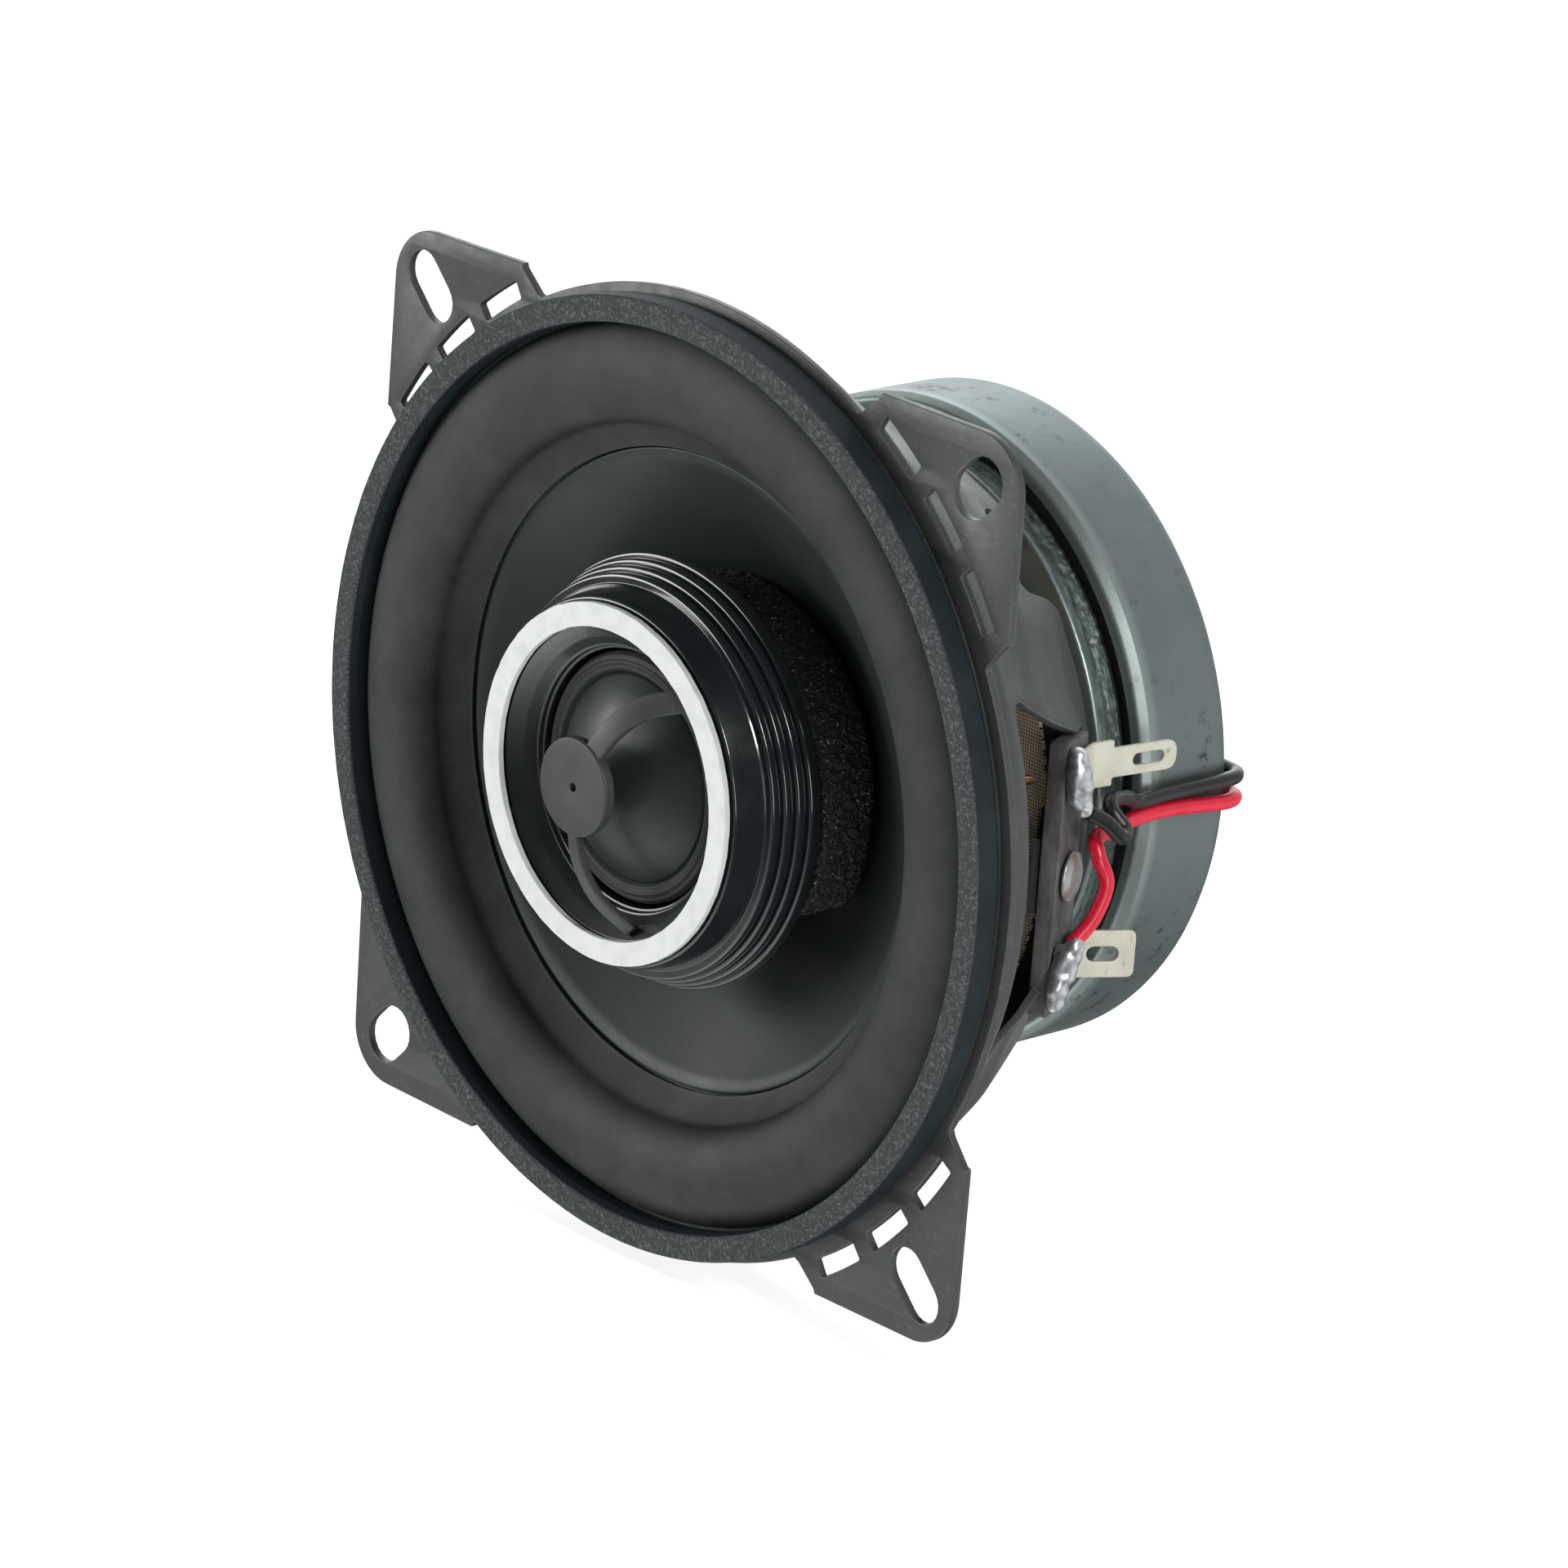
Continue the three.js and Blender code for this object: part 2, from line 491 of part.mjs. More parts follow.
add('magnet_can', can(), canSteel);
seatPlaces.forEach((place, i) => add(`seat_rivet_${i + 1}`, seatRivet(place), rivetSteel));

const tweeter = new THREE.Group();
tweeter.position.z = LIFT;
speaker.add(tweeter);
const { trimIn, trimOut, front: trimFront } = TWEETER;
const trimRing = tube(trimIn, trimOut - trimIn, trimFront, trimFront + 0.7, SEG.medium);
add('tweeter_housing', housing(), glossBlack, tweeter);
add('trim_ring', trimRing, whiteRing, tweeter);
add('phase_plug', phasePlug(), satinBlack, tweeter);
add('tweeter_dome', dome(), satinBlack, tweeter);
add('tweeter_coil', tube(10.2, 0.5, -4.7, -3.2, SEG.small), copper, tweeter);
add('dome_suspension', suspension(), surroundRubber, tweeter);
add('tweeter_pole_disc', closed(pin(9.8, -4.4, -3.6, SEG.small)), zinc, tweeter);
add('tweeter_magnet', closed(pin(9.2, -3.3, -1.3, SEG.small)), ferrite, tweeter);
add('tweeter_yoke', tweeterYoke(), zinc, tweeter);
add('tweeter_base', tweeterBase(), satinBlack, tweeter);
add('crossover_capacitor', closed(capacitor()), blackPvc, tweeter);
add('foam_ring', foamRing(), openFoam, tweeter);
add('tweeter_post', post(), zinc);
add('post_nut', postNut(), rivetSteel);

add('terminal_strip', strip(), phenolic);
add('strip_rivet', rivet(), rivetSteel);
for (const [name, spec] of Object.entries(LUGS)) add(name, lug(spec), tinned);
add('solder_small', closed(blob(-2, LUGS.lug_small.z + 0.4, 6)), solder);
add('solder_large', closed(blob(-2.6, LUGS.lug_large.z - 0.6, 6.4)), solder);
add('lead_red', tweeterLead(redStart, 0.95, 0.7, -1), redPvc);
add('lead_black', tweeterLead(blackStart, 2.65, 0, 1), blackPvc);
add('tinsel_lead_upper', tinsel(7.5), copper);
add('tinsel_lead_lower', tinsel(-12), copper);

export default speaker;
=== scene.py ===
"""Looks of the coaxial car speaker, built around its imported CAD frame. Mesh code works in millimetres."""
import json
import math

import bmesh
import bpy
from mathutils import Matrix, Vector, noise


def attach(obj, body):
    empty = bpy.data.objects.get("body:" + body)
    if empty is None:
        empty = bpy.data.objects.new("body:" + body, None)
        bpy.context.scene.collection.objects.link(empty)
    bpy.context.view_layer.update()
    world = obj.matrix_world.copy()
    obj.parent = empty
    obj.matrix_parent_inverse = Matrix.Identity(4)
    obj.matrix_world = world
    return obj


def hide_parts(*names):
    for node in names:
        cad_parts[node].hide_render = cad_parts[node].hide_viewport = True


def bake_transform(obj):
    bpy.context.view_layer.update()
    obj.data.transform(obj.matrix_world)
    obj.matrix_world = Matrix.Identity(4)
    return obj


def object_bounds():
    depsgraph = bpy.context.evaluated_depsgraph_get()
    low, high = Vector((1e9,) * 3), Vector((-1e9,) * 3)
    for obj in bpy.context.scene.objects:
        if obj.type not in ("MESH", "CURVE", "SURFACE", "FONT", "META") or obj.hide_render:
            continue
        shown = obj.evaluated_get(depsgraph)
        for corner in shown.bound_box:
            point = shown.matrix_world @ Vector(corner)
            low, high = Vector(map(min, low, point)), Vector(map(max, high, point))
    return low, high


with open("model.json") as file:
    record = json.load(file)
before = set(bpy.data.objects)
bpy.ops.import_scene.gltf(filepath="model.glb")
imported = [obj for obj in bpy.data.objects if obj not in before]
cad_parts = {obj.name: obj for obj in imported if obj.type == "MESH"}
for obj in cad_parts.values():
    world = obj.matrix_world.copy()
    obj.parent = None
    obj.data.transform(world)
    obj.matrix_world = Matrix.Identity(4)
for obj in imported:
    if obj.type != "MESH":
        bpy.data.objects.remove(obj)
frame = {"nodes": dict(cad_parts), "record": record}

cad_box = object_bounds()
MM = 0.001
ROUND = 240          # segments of the large turned pieces
FINE = 144           # segments of the small ones

RECORD = frame["record"]
BODY_OF = {n: body for body, members in RECORD["behaviour"]["bodies"].items() for n in members}
SLOT_OF = {s["node"]: s["material_slot"] for s in RECORD["subparts"]}


# ---------------- materials
class Finish:
    """A Principled material whose colour, roughness and bump come from nodes in object space."""

    def __init__(self, name, **values):
        self.material = bpy.data.materials.new(name)
        self.material.use_nodes = True
        self.tree = self.material.node_tree
        self.shader = self.tree.nodes["Principled BSDF"]
        for socket, value in values.items():
            self.shader.inputs[socket.replace("_", " ")].default_value = value
        self.where = self.add("ShaderNodeTexCoord").outputs["Object"]
        self.height = None

    def add(self, kind, inputs=None, **settings):
        node = self.tree.nodes.new(kind)
        for key, value in settings.items():
            setattr(node, key, value)
        for key, value in (inputs or {}).items():
            self.put(node.inputs[key], value)
        return node

    def put(self, socket, value):
        if isinstance(value, bpy.types.NodeSocket):
            self.tree.links.new(value, socket)
        else:
            socket.default_value = value

    def noise(self, scale, detail=4, rough=0.55, stretch=None):
        vector = self.where
        if stretch:
            vector = self.add("ShaderNodeMapping", {"Vector": vector, "Scale": stretch}).outputs["Vector"]
        inputs = {"Vector": vector, "Scale": scale, "Detail": detail, "Roughness": rough}
        return self.add("ShaderNodeTexNoise", inputs).outputs["Fac"]

    def cells(self, scale, feature="F1"):
        inputs = {"Vector": self.where, "Scale": scale}
        return self.add("ShaderNodeTexVoronoi", inputs, feature=feature).outputs["Distance"]

    def bands(self, period_mm, direction):
        inputs = {"Vector": self.where, "Scale": math.tau / 20 / (period_mm * MM)}
        return self.add("ShaderNodeTexWave", inputs, bands_direction=direction).outputs["Fac"]

    def span(self, value, low, high, new_low=0.0, new_high=1.0):
        inputs = {"Value": value, "From Min": low, "From Max": high, "To Min": new_low, "To Max": new_high}
        return self.add("ShaderNodeMapRange", inputs).outputs["Result"]

    def sum(self, operation, a, b):
        return self.add("ShaderNodeMath", {0: a, 1: b}, operation=operation).outputs[0]

    def mix(self, share, a, b):
        node = self.add("ShaderNodeMix", data_type="RGBA")
        self.put(node.inputs[0], share)
        for socket, value in ((node.inputs[6], a), (node.inputs[7], b)):
            self.put(socket, value if isinstance(value, bpy.types.NodeSocket) else (*value, 1))
        return node.outputs[2]

    def cloudy(self, noise, low, high):
        """Two colours mixed softly by a noise."""
        return self.mix(self.span(noise, 0.3, 0.7), low, high)

    def part(self, axis):
        """The X, Y or Z coordinate of the point, in metres."""
        return self.add("ShaderNodeSeparateXYZ", {"Vector": self.where}).outputs[axis]

    def radius(self):
        squares = [self.sum("POWER", self.part(axis), 2.0) for axis in ("X", "Z")]
        return self.sum("SQRT", self.sum("ADD", *squares), 0.0)

    def edges(self, radius_mm):
        """1 on edges sharper than the radius, 0 on flat ground."""
        soft = self.add("ShaderNodeBevel", {"Radius": radius_mm * MM}, samples=4).outputs["Normal"]
        sharp = self.add("ShaderNodeNewGeometry").outputs["Normal"]
        both = self.add("ShaderNodeVectorMath", {0: soft, 1: sharp}, operation="DOT_PRODUCT").outputs["Value"]
        return self.span(both, 0.995, 0.9)

    def colour(self, value):
        self.put(self.shader.inputs["Base Color"], value)

    def rough(self, value):
        self.put(self.shader.inputs["Roughness"], value)

    def rough_by(self, noise, low, high):
        self.rough(self.span(noise, 0.3, 0.7, low, high))

    def bump(self, height, depth_mm):
        inputs = {"Height": height, "Distance": depth_mm * MM, "Strength": 1.0}
        if self.height:
            inputs["Normal"] = self.height
        self.height = self.add("ShaderNodeBump", inputs).outputs["Normal"]
        self.put(self.shader.inputs["Normal"], self.height)


def black_paint():
    f = Finish("black_paint", Specular_IOR_Level=0.45)
    cloud = f.noise(70, detail=5)
    dust = f.span(f.noise(1600, detail=2), 0.62, 0.75)
    body = f.cloudy(cloud, (0.036, 0.038, 0.039), (0.052, 0.054, 0.055))
    worn = f.sum("MULTIPLY", f.edges(0.25), f.span(f.noise(350), 0.35, 0.6))
    f.colour(f.mix(worn, f.mix(dust, body, (0.075, 0.078, 0.078)), (0.16, 0.165, 0.165)))
    f.rough_by(f.noise(420), 0.36, 0.5)
    f.bump(f.noise(1100, detail=2), 0.02)
    f.bump(f.noise(240, detail=2), 0.03)
    return f.material


def gasket_foam():
    f = Finish("gasket_foam", Specular_IOR_Level=0.12)
    grain = f.noise(2600, detail=3, rough=0.75)
    speckle = f.span(grain, 0.5, 0.7)
    pits = f.span(f.cells(2100), 0.25, 0.05)
    face = f.span(f.part("Y"), -0.0044, -0.0046)
    flecked = f.mix(speckle, (0.045, 0.051, 0.052), (0.13, 0.138, 0.138))
    front = f.mix(pits, flecked, (0.018, 0.020, 0.021))
    side = f.mix(f.span(f.noise(160), 0.35, 0.7), (0.012, 0.019, 0.022), (0.019, 0.028, 0.032))
    f.colour(f.mix(face, side, front))
    f.rough(f.span(face, 0.0, 1.0, 0.62, 0.9))
    f.bump(f.sum("MULTIPLY", grain, face), 0.08)
    return f.material


def surround_rubber():
    f = Finish("surround_rubber", Specular_IOR_Level=0.35)
    cloud = f.noise(45, detail=5)
    bloom = f.span(f.noise(140, detail=6, rough=0.7), 0.4, 0.75)
    base = f.cloudy(cloud, (0.015, 0.017, 0.017), (0.024, 0.026, 0.025))
    f.colour(f.mix(bloom, base, (0.036, 0.038, 0.037)))
    f.rough_by(cloud, 0.56, 0.7)
    f.bump(f.noise(2200, detail=2), 0.018)
    return f.material


def cone_plastic():
    f = Finish("cone_plastic", Specular_IOR_Level=0.24)
    cloud = f.noise(40, detail=5)
    f.colour(f.cloudy(cloud, (0.018, 0.022, 0.023), (0.027, 0.032, 0.033)))
    f.rough_by(f.noise(90, detail=6), 0.38, 0.5)
    f.bump(f.noise(1500, detail=3), 0.012)
    return f.material


def gloss_black():
    f = Finish("gloss_black", Specular_IOR_Level=0.5, Coat_Weight=0.35, Coat_Roughness=0.06)
    smear = f.noise(120, detail=6, rough=0.65)
    recess = f.span(f.radius(), 0.0162, 0.0156)
    f.colour(f.cloudy(smear, (0.006, 0.008, 0.009), (0.012, 0.015, 0.017)))
    f.rough(f.mix(recess, f.span(smear, 0.35, 0.75, 0.14, 0.26), f.span(smear, 0.35, 0.75, 0.34, 0.46)))
    f.bump(f.noise(320, detail=2), 0.006)
    return f.material


def satin_black(name, low, high, gloss):
    f = Finish(name, Specular_IOR_Level=0.4)
    f.colour(f.cloudy(f.noise(150, detail=5), low, high))
    f.rough_by(f.noise(300), gloss, gloss + 0.12)
    f.bump(f.noise(1800, detail=2), 0.012)
    return f.material


def white_print():
    f = Finish("white_print", Specular_IOR_Level=0.35)
    f.colour(f.mix(f.span(f.noise(500, detail=5), 0.45, 0.75), (0.67, 0.68, 0.68), (0.58, 0.59, 0.59)))
    f.rough_by(f.noise(900), 0.45, 0.6)
    f.bump(f.noise(1700, detail=3), 0.012)
    return f.material


def open_foam():
    f = Finish("open_foam", Specular_IOR_Level=0.5)
    walls = f.cells(1150, feature="DISTANCE_TO_EDGE")
    strut = f.span(walls, 0.16, 0.02)
    glint = f.span(f.noise(2300, detail=1), 0.62, 0.70)
    f.colour(f.mix(f.sum("MULTIPLY", glint, strut), (0.034, 0.034, 0.034), (0.48, 0.47, 0.47)))
    f.rough(f.span(glint, 0.0, 1.0, 0.85, 0.22))
    f.bump(strut, 0.35)
    return f.material


def zinc_plate():
    f = Finish("zinc_plate", Metallic=0.8)
    shear = f.noise(420, detail=6, rough=0.7, stretch=(1, 2.2, 1))
    green = f.cloudy(shear, (0.10, 0.15, 0.145), (0.34, 0.41, 0.39))
    stain = f.span(f.noise(520, detail=5), 0.56, 0.7)
    torn = f.span(f.part("Y"), 0.0305, 0.0318)
    rim = f.mix(f.sum("MULTIPLY", stain, torn), green, (0.05, 0.075, 0.072))
    f.colour(f.mix(f.span(f.part("Y"), 0.0299, 0.0297), rim, (0.30, 0.36, 0.35)))
    f.rough(f.sum("ADD", f.span(shear, 0.3, 0.75, 0.42, 0.24), f.span(torn, 0.0, 1.0, 0.0, 0.14)))
    f.bump(f.sum("MULTIPLY", shear, torn), 0.22)
    f.bump(f.noise(1500, detail=3), 0.03)
    return f.material


def can_steel():
    f = Finish("can_steel", Metallic=0.8)
    cloud = f.noise(38, detail=5)
    base = f.mix(f.span(cloud, 0.25, 0.75), (0.15, 0.185, 0.187), (0.215, 0.25, 0.252))
    mottled = f.mix(f.span(f.noise(170, detail=6, rough=0.7), 0.45, 0.75), base, (0.17, 0.195, 0.19))
    rim = f.span(f.part("Y"), 0.0350, 0.0340)
    patch = f.span(f.noise(60, detail=3), 0.46, 0.58)
    spot = f.span(f.noise(420, detail=4, rough=0.7), 0.55, 0.66)
    stain = f.sum("MULTIPLY", patch, spot)
    clean = f.mix(rim, mottled, (0.27, 0.32, 0.31))
    f.colour(f.mix(f.sum("MULTIPLY", stain, 0.9), clean, (0.045, 0.050, 0.047)))
    f.rough(f.span(f.sum("MAXIMUM", stain, f.span(cloud, 0.3, 0.8)), 0.0, 1.0, 0.40, 0.58))
    f.bump(f.noise(90, detail=4), 0.02)
    f.bump(f.noise(1300, detail=2), 0.010)
    return f.material


def ferrite():
    f = Finish("ferrite", Specular_IOR_Level=0.5)
    grain = f.noise(700, detail=6, rough=0.7)
    f.colour(f.cloudy(grain, (0.014, 0.015, 0.016), (0.038, 0.039, 0.041)))
    f.rough_by(grain, 0.5, 0.72)
    f.bump(grain, 0.08)
    return f.material


def phenolic():
    f = Finish("phenolic", Specular_IOR_Level=0.4)
    fibre = f.noise(420, detail=6, rough=0.7, stretch=(1, 1, 0.35))
    mottled = f.cloudy(fibre, (0.030, 0.027, 0.027), (0.13, 0.125, 0.122))
    chipped = f.sum("MULTIPLY", f.edges(0.2), f.span(f.noise(600), 0.4, 0.6))
    f.colour(f.mix(chipped, mottled, (0.15, 0.14, 0.14)))
    f.rough_by(fibre, 0.5, 0.75)
    f.bump(fibre, 0.12)
    return f.material


def tinned_brass():
    f = Finish("tinned_brass", Metallic=0.35)
    cloud = f.noise(260, detail=5)
    base = f.cloudy(cloud, (0.54, 0.52, 0.42), (0.66, 0.65, 0.55))
    f.colour(f.mix(f.span(f.noise(900, detail=3), 0.62, 0.75), base, (0.30, 0.28, 0.20)))
    f.rough_by(cloud, 0.34, 0.48)
    f.bump(f.noise(1400, detail=3), 0.015)
    return f.material


def solder():
    f = Finish("solder", Metallic=0.9)
    frost = f.noise(750, detail=5, rough=0.65)
    f.colour(f.cloudy(frost, (0.50, 0.51, 0.53), (0.80, 0.81, 0.83)))
    f.rough(f.span(frost, 0.35, 0.7, 0.26, 0.5))
    f.bump(frost, 0.04)
    return f.material


def rivet_steel():
    f = Finish("rivet_steel", Metallic=0.85)
    scuff = f.noise(380, detail=6, rough=0.7)
    f.colour(f.mix(f.span(scuff, 0.35, 0.7), (0.36, 0.37, 0.36), (0.58, 0.59, 0.58)))
    f.rough_by(scuff, 0.3, 0.5)
    f.bump(scuff, 0.03)
    return f.material


def woven_cloth():
    f = Finish("woven_cloth", Specular_IOR_Level=0.8)
    warp = f.bands(0.36, "X")
    weft = f.bands(0.36, "Z")
    thread = f.sum("MAXIMUM", warp, weft)
    hole = f.span(f.sum("ADD", warp, weft), 0.75, 0.25)
    cloud = f.noise(120, detail=4)
    resin = f.cloudy(cloud, (0.50, 0.34, 0.18), (0.80, 0.62, 0.40))
    light = f.mix(f.span(thread, 0.5, 1.0), resin, (0.92, 0.76, 0.54))
    f.colour(f.mix(hole, light, (0.02, 0.012, 0.006)))
    f.rough_by(cloud, 0.26, 0.45)
    f.bump(thread, 0.12)
    return f.material


def kapton():
    f = Finish("kapton", Coat_Weight=0.3)
    f.colour(f.cloudy(f.noise(200), (0.30, 0.12, 0.03), (0.42, 0.19, 0.05)))
    f.rough_by(f.noise(500), 0.25, 0.4)
    f.bump(f.noise(900), 0.01)
    return f.material


def wound_copper():
    f = Finish("wound_copper", Metallic=0.9)
    turns = f.bands(0.2, "Y")
    f.colour(f.mix(turns, (0.22, 0.08, 0.03), (0.66, 0.33, 0.16)))
    f.rough_by(f.noise(600), 0.28, 0.42)
    f.bump(turns, 0.08)
    return f.material


def braided_copper():
    f = Finish("braided_copper", Metallic=0.85)
    braid = f.cells(1400)
    f.colour(f.mix(f.span(braid, 0.1, 0.5), (0.62, 0.36, 0.18), (0.20, 0.10, 0.05)))
    f.rough(f.span(braid, 0.1, 0.5, 0.3, 0.5))
    f.bump(braid, 0.15)
    return f.material


def pvc(name, low, high):
    f = Finish(name, Specular_IOR_Level=0.5)
    handled = f.noise(260, detail=5)
    f.colour(f.mix(f.span(handled, 0.3, 0.7), low, high))
    f.rough_by(handled, 0.24, 0.38)
    f.bump(f.noise(700, detail=2), 0.02)
    return f.material


MATERIALS = {
    "black_paint": black_paint(), "gasket_foam": gasket_foam(), "surround_rubber": surround_rubber(),
    "cone_plastic": cone_plastic(), "gloss_black": gloss_black(),
    "satin_black": satin_black("satin_black", (0.034, 0.036, 0.036), (0.050, 0.052, 0.052), 0.42),
    "dome_film": satin_black("dome_film", (0.013, 0.017, 0.018), (0.021, 0.026, 0.027), 0.38),
    "white_trim": white_print(), "open_foam": open_foam(), "zinc_plate": zinc_plate(),
    "can_steel": can_steel(), "ferrite": ferrite(), "phenolic": phenolic(), "tinned_brass": tinned_brass(),
    "solder": solder(), "rivet_steel": rivet_steel(), "spider_cloth": woven_cloth(), "kapton": kapton(),
    "copper": wound_copper(), "tinsel": braided_copper(),
    "red_pvc": pvc("red_pvc", (0.55, 0.006, 0.026), (0.70, 0.012, 0.045)),
    "black_pvc": pvc("black_pvc", (0.006, 0.006, 0.007), (0.014, 0.013, 0.014)),
}


# ---------------- mesh helpers
def rounded(points, steps=4, closed=True):
    """An outline whose corners, given as (x, y, radius), become smooth curves. A radius of 0 stays sharp."""
    out = []
    points = [p for i, p in enumerate(points) if math.dist(p[:2], points[i - 1][:2]) > 1e-6]
    for i, (x, y, radius) in enumerate(points):
        here = Vector((x, y))
        if radius <= 0 or (not closed and i in (0, len(points) - 1)):
            out.append((x, y))
            continue
        before = Vector(points[i - 1][:2]) - here
        after = Vector(points[(i + 1) % len(points)][:2]) - here
        half = before.angle(after) / 2
        reach = min(radius / math.tan(half), before.length * 0.49, after.length * 0.49)
        start, end = here + before.normalized() * reach, here + after.normalized() * reach
        for k in range(steps + 1):
            t = k / steps
            out.append(tuple(start * (1 - t) ** 2 + here * (2 * t * (1 - t)) + end * t * t))
    return out


def arc(cx, cy, radius, start, end, steps):
    angles = [math.radians(start + (end - start) * i / steps) for i in range(steps + 1)]
    return [(cx + radius * math.cos(a), cy + radius * math.sin(a)) for a in angles]


def smooth_line(points, per_span):
    """A Catmull-Rom curve through the points."""
    pts = [Vector(p) for p in points]
    pts = [pts[0] * 2 - pts[1], *pts, pts[-1] * 2 - pts[-2]]
    out = []
    for a, b, c, d in zip(pts, pts[1:], pts[2:], pts[3:]):
        for k in range(per_span):
            t = k / per_span
            out.append(0.5 * (2 * b + (c - a) * t + (2 * a - 5 * b + 4 * c - d) * t ** 2
                              + (3 * b - a - 3 * c + d) * t ** 3))
    return [*out, pts[-2]]


def linked(name, data):
    obj = bpy.data.objects.new(name, data)
    bpy.context.scene.collection.objects.link(obj)
    return obj


def finish_mesh(bm, name, material, sharp=40):
    bmesh.ops.remove_doubles(bm, verts=bm.verts, dist=1e-7)
    bmesh.ops.recalc_face_normals(bm, faces=bm.faces)
    mesh = bpy.data.meshes.new(name)
    bm.to_mesh(mesh)
    bm.free()
    mesh.polygons.foreach_set("use_smooth", [True] * len(mesh.polygons))
    mesh.set_sharp_from_angle(angle=math.radians(sharp))
    mesh.materials.append(MATERIALS[material])
    return linked(name, mesh)


def mesh_of(verts, faces):
    bm = bmesh.new()
    made = [bm.verts.new(Vector(v) * MM) for v in verts]
    for face in faces:
        bm.faces.new([made[i] for i in face])
    return bm


def skinned(rings, closed=False):
    """Faces between rings of points: round to the first ring again, or with a cap at each end."""
    count, spans = len(rings[0]), len(rings) if closed else len(rings) - 1
    faces = []
    for i in range(spans):
        near, far = i * count, (i + 1) % len(rings) * count
        for k in range(count):
            nxt = (k + 1) % count
            faces.append((near + k, near + nxt, far + nxt, far + k))
    if not closed:
        faces += [tuple(range(count)), tuple(range(spans * count, (spans + 1) * count))]
    return mesh_of([point for ring in rings for point in ring], faces)


def turned(profile, segments=ROUND, shift=None):
    """A closed (radius, y) outline turned about Y. shift(point, angle) may move each point."""
    rings = []
    for i in range(segments):
        a = math.tau * i / segments
        ring = [Vector((r * math.cos(a), y, r * math.sin(a))) for r, y in profile]
        rings.append([shift(p, a) for p in ring] if shift else ring)
    return skinned(rings, closed=True)


def made_real(holder):
    """The object's final mesh as a bmesh; the object itself goes."""
    graph = bpy.context.evaluated_depsgraph_get()
    mesh = bpy.data.meshes.new_from_object(holder.evaluated_get(graph))
    bm = bmesh.new()
    bm.from_mesh(mesh)
    bpy.data.meshes.remove(mesh)
    bpy.data.objects.remove(holder)
    return bm


def flat_part(outline, holes, thickness, bevel):
    """A plate drawn in X-Y and centred on Z = 0, with a rounded edge all round. A bmesh in metres."""
    curve = bpy.data.curves.new("outline", "CURVE")
    curve.dimensions = "2D"
    curve.fill_mode = "BOTH"
    curve.extrude = (thickness / 2 - bevel) * MM
    curve.bevel_depth = bevel * MM
    curve.bevel_resolution = 2
    curve.offset = -bevel * MM
    for ring in [outline, *holes]:
        spline = curve.splines.new("POLY")
        spline.points.add(len(ring) - 1)
        for point, (x, y) in zip(spline.points, ring):
            point.co = (x * MM, y * MM, 0, 1)
        spline.use_cyclic_u = True
    bm = made_real(linked("outline", curve))
    bpy.data.curves.remove(curve)
    bmesh.ops.remove_doubles(bm, verts=bm.verts, dist=1e-7)
    return bm


def stood_up(bm, y):
    """Turns a flat part to face the front, with its middle at y."""
    bm.transform(Matrix.Translation((0, y * MM, 0)) @ Matrix.Rotation(math.pi / 2, 4, "X"))
    return bm


def tangents_of(path):
    tangents = [(b - a).normalized() for a, b in zip([path[0], *path], [*path[1:], path[-1]])]
    tangents[0] = (path[1] - path[0]).normalized()
    return tangents


def swept(path, section):
    """A section of (across, up) points carried along a path."""
    tangents = tangents_of(path)
    side = tangents[0].orthogonal().normalized()
    rings = []
    for at, tangent in zip(path, tangents):
        side = (side - tangent * side.dot(tangent)).normalized()
        up = tangent.cross(side)
        rings.append([at + side * u + up * v for u, v in section])
    return skinned(rings)


def circle(radius, sides):
    return arc(0, 0, radius, 0, 360, sides)[:-1]


def stand_for(obj, *nodes):
    """obj takes the place and body of these CAD nodes."""
    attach(obj, BODY_OF[nodes[0]])
    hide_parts(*nodes)
    return obj


def turned_part(node, name, material, outline, segments=ROUND, shift=None, sharp=40):
    stand_for(finish_mesh(turned(outline, segments, shift), name, material, sharp), node)


def stretch_between(obj, node, weight_of):
    """obj is a soft piece between the root and the cone or dome; its mesh is baked in place and the CAD node
    hidden. weight_of(point in mm) is 0 on the root; it is worked out for each point, but the weights are not kept.
    """
    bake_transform(obj)
    weights = [min(1.0, max(0.0, weight_of(v.co / MM))) for v in obj.data.vertices]
    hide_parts(node)
    return obj


def modifier(obj, kind, **settings):
    mod = obj.modifiers.new(kind.lower(), kind)
    for key, value in settings.items():
        setattr(mod, key, value)
    return mod


def ramp(x, low, high):
    t = min(1.0, max(0.0, (x - low) / (high - low)))
    return t * t * (3 - 2 * t)


def lumps(p, scale, octaves=3):
    """Smooth noise from about -1 to 1 at a point in millimetres."""
    return noise.fractal(Vector(p) * scale, 0.8, 2.1, octaves)


# ---------------- basket
SHEET = 0.9                      # steel sheet
FLANGE_R = 50.3
HOLE_AT = 82.5 / math.sqrt(2)    # axis to the middle of a mounting slot
EAR_HALF = 47.0
EAR_CORNER = EAR_HALF - 82.5 / 2
EAR_SIDE = 26.7
EAR_ROOT = (24.4, 44.6)
EARS = ((45, 7.2, 5.2), (135, 8.2, 4.6), (225, 7.2, 5.2), (315, 8.2, 4.6))   # angle, slot length and width
WALL = [(49.0, -0.45, 0), (46.6, -0.45, 1.2), (46.1, 3.6, 2), (43.2, 11.5, 5), (40.6, 16.0, 5), (38.2, 20.0, 5),
        (35.1, 23.7, 3), (32.6, 25.9, 2), (28.8, 29.2, 1.5), (15.0, 29.2, 0)]    # outside of the bowl
WINDOW = ((4.9, 19.6), (13.0, 14.6), (19.6, 11.4), (27.4, 8.6))              # y, half width
WINDOW_CORNER = 3.0
STRIP_AT = Vector((38.6, 18.5, -2.4))
STRIP_LEAN = math.radians(25)
STRIP = {"width": 5.8, "length": 28.8, "thick": 2.0}
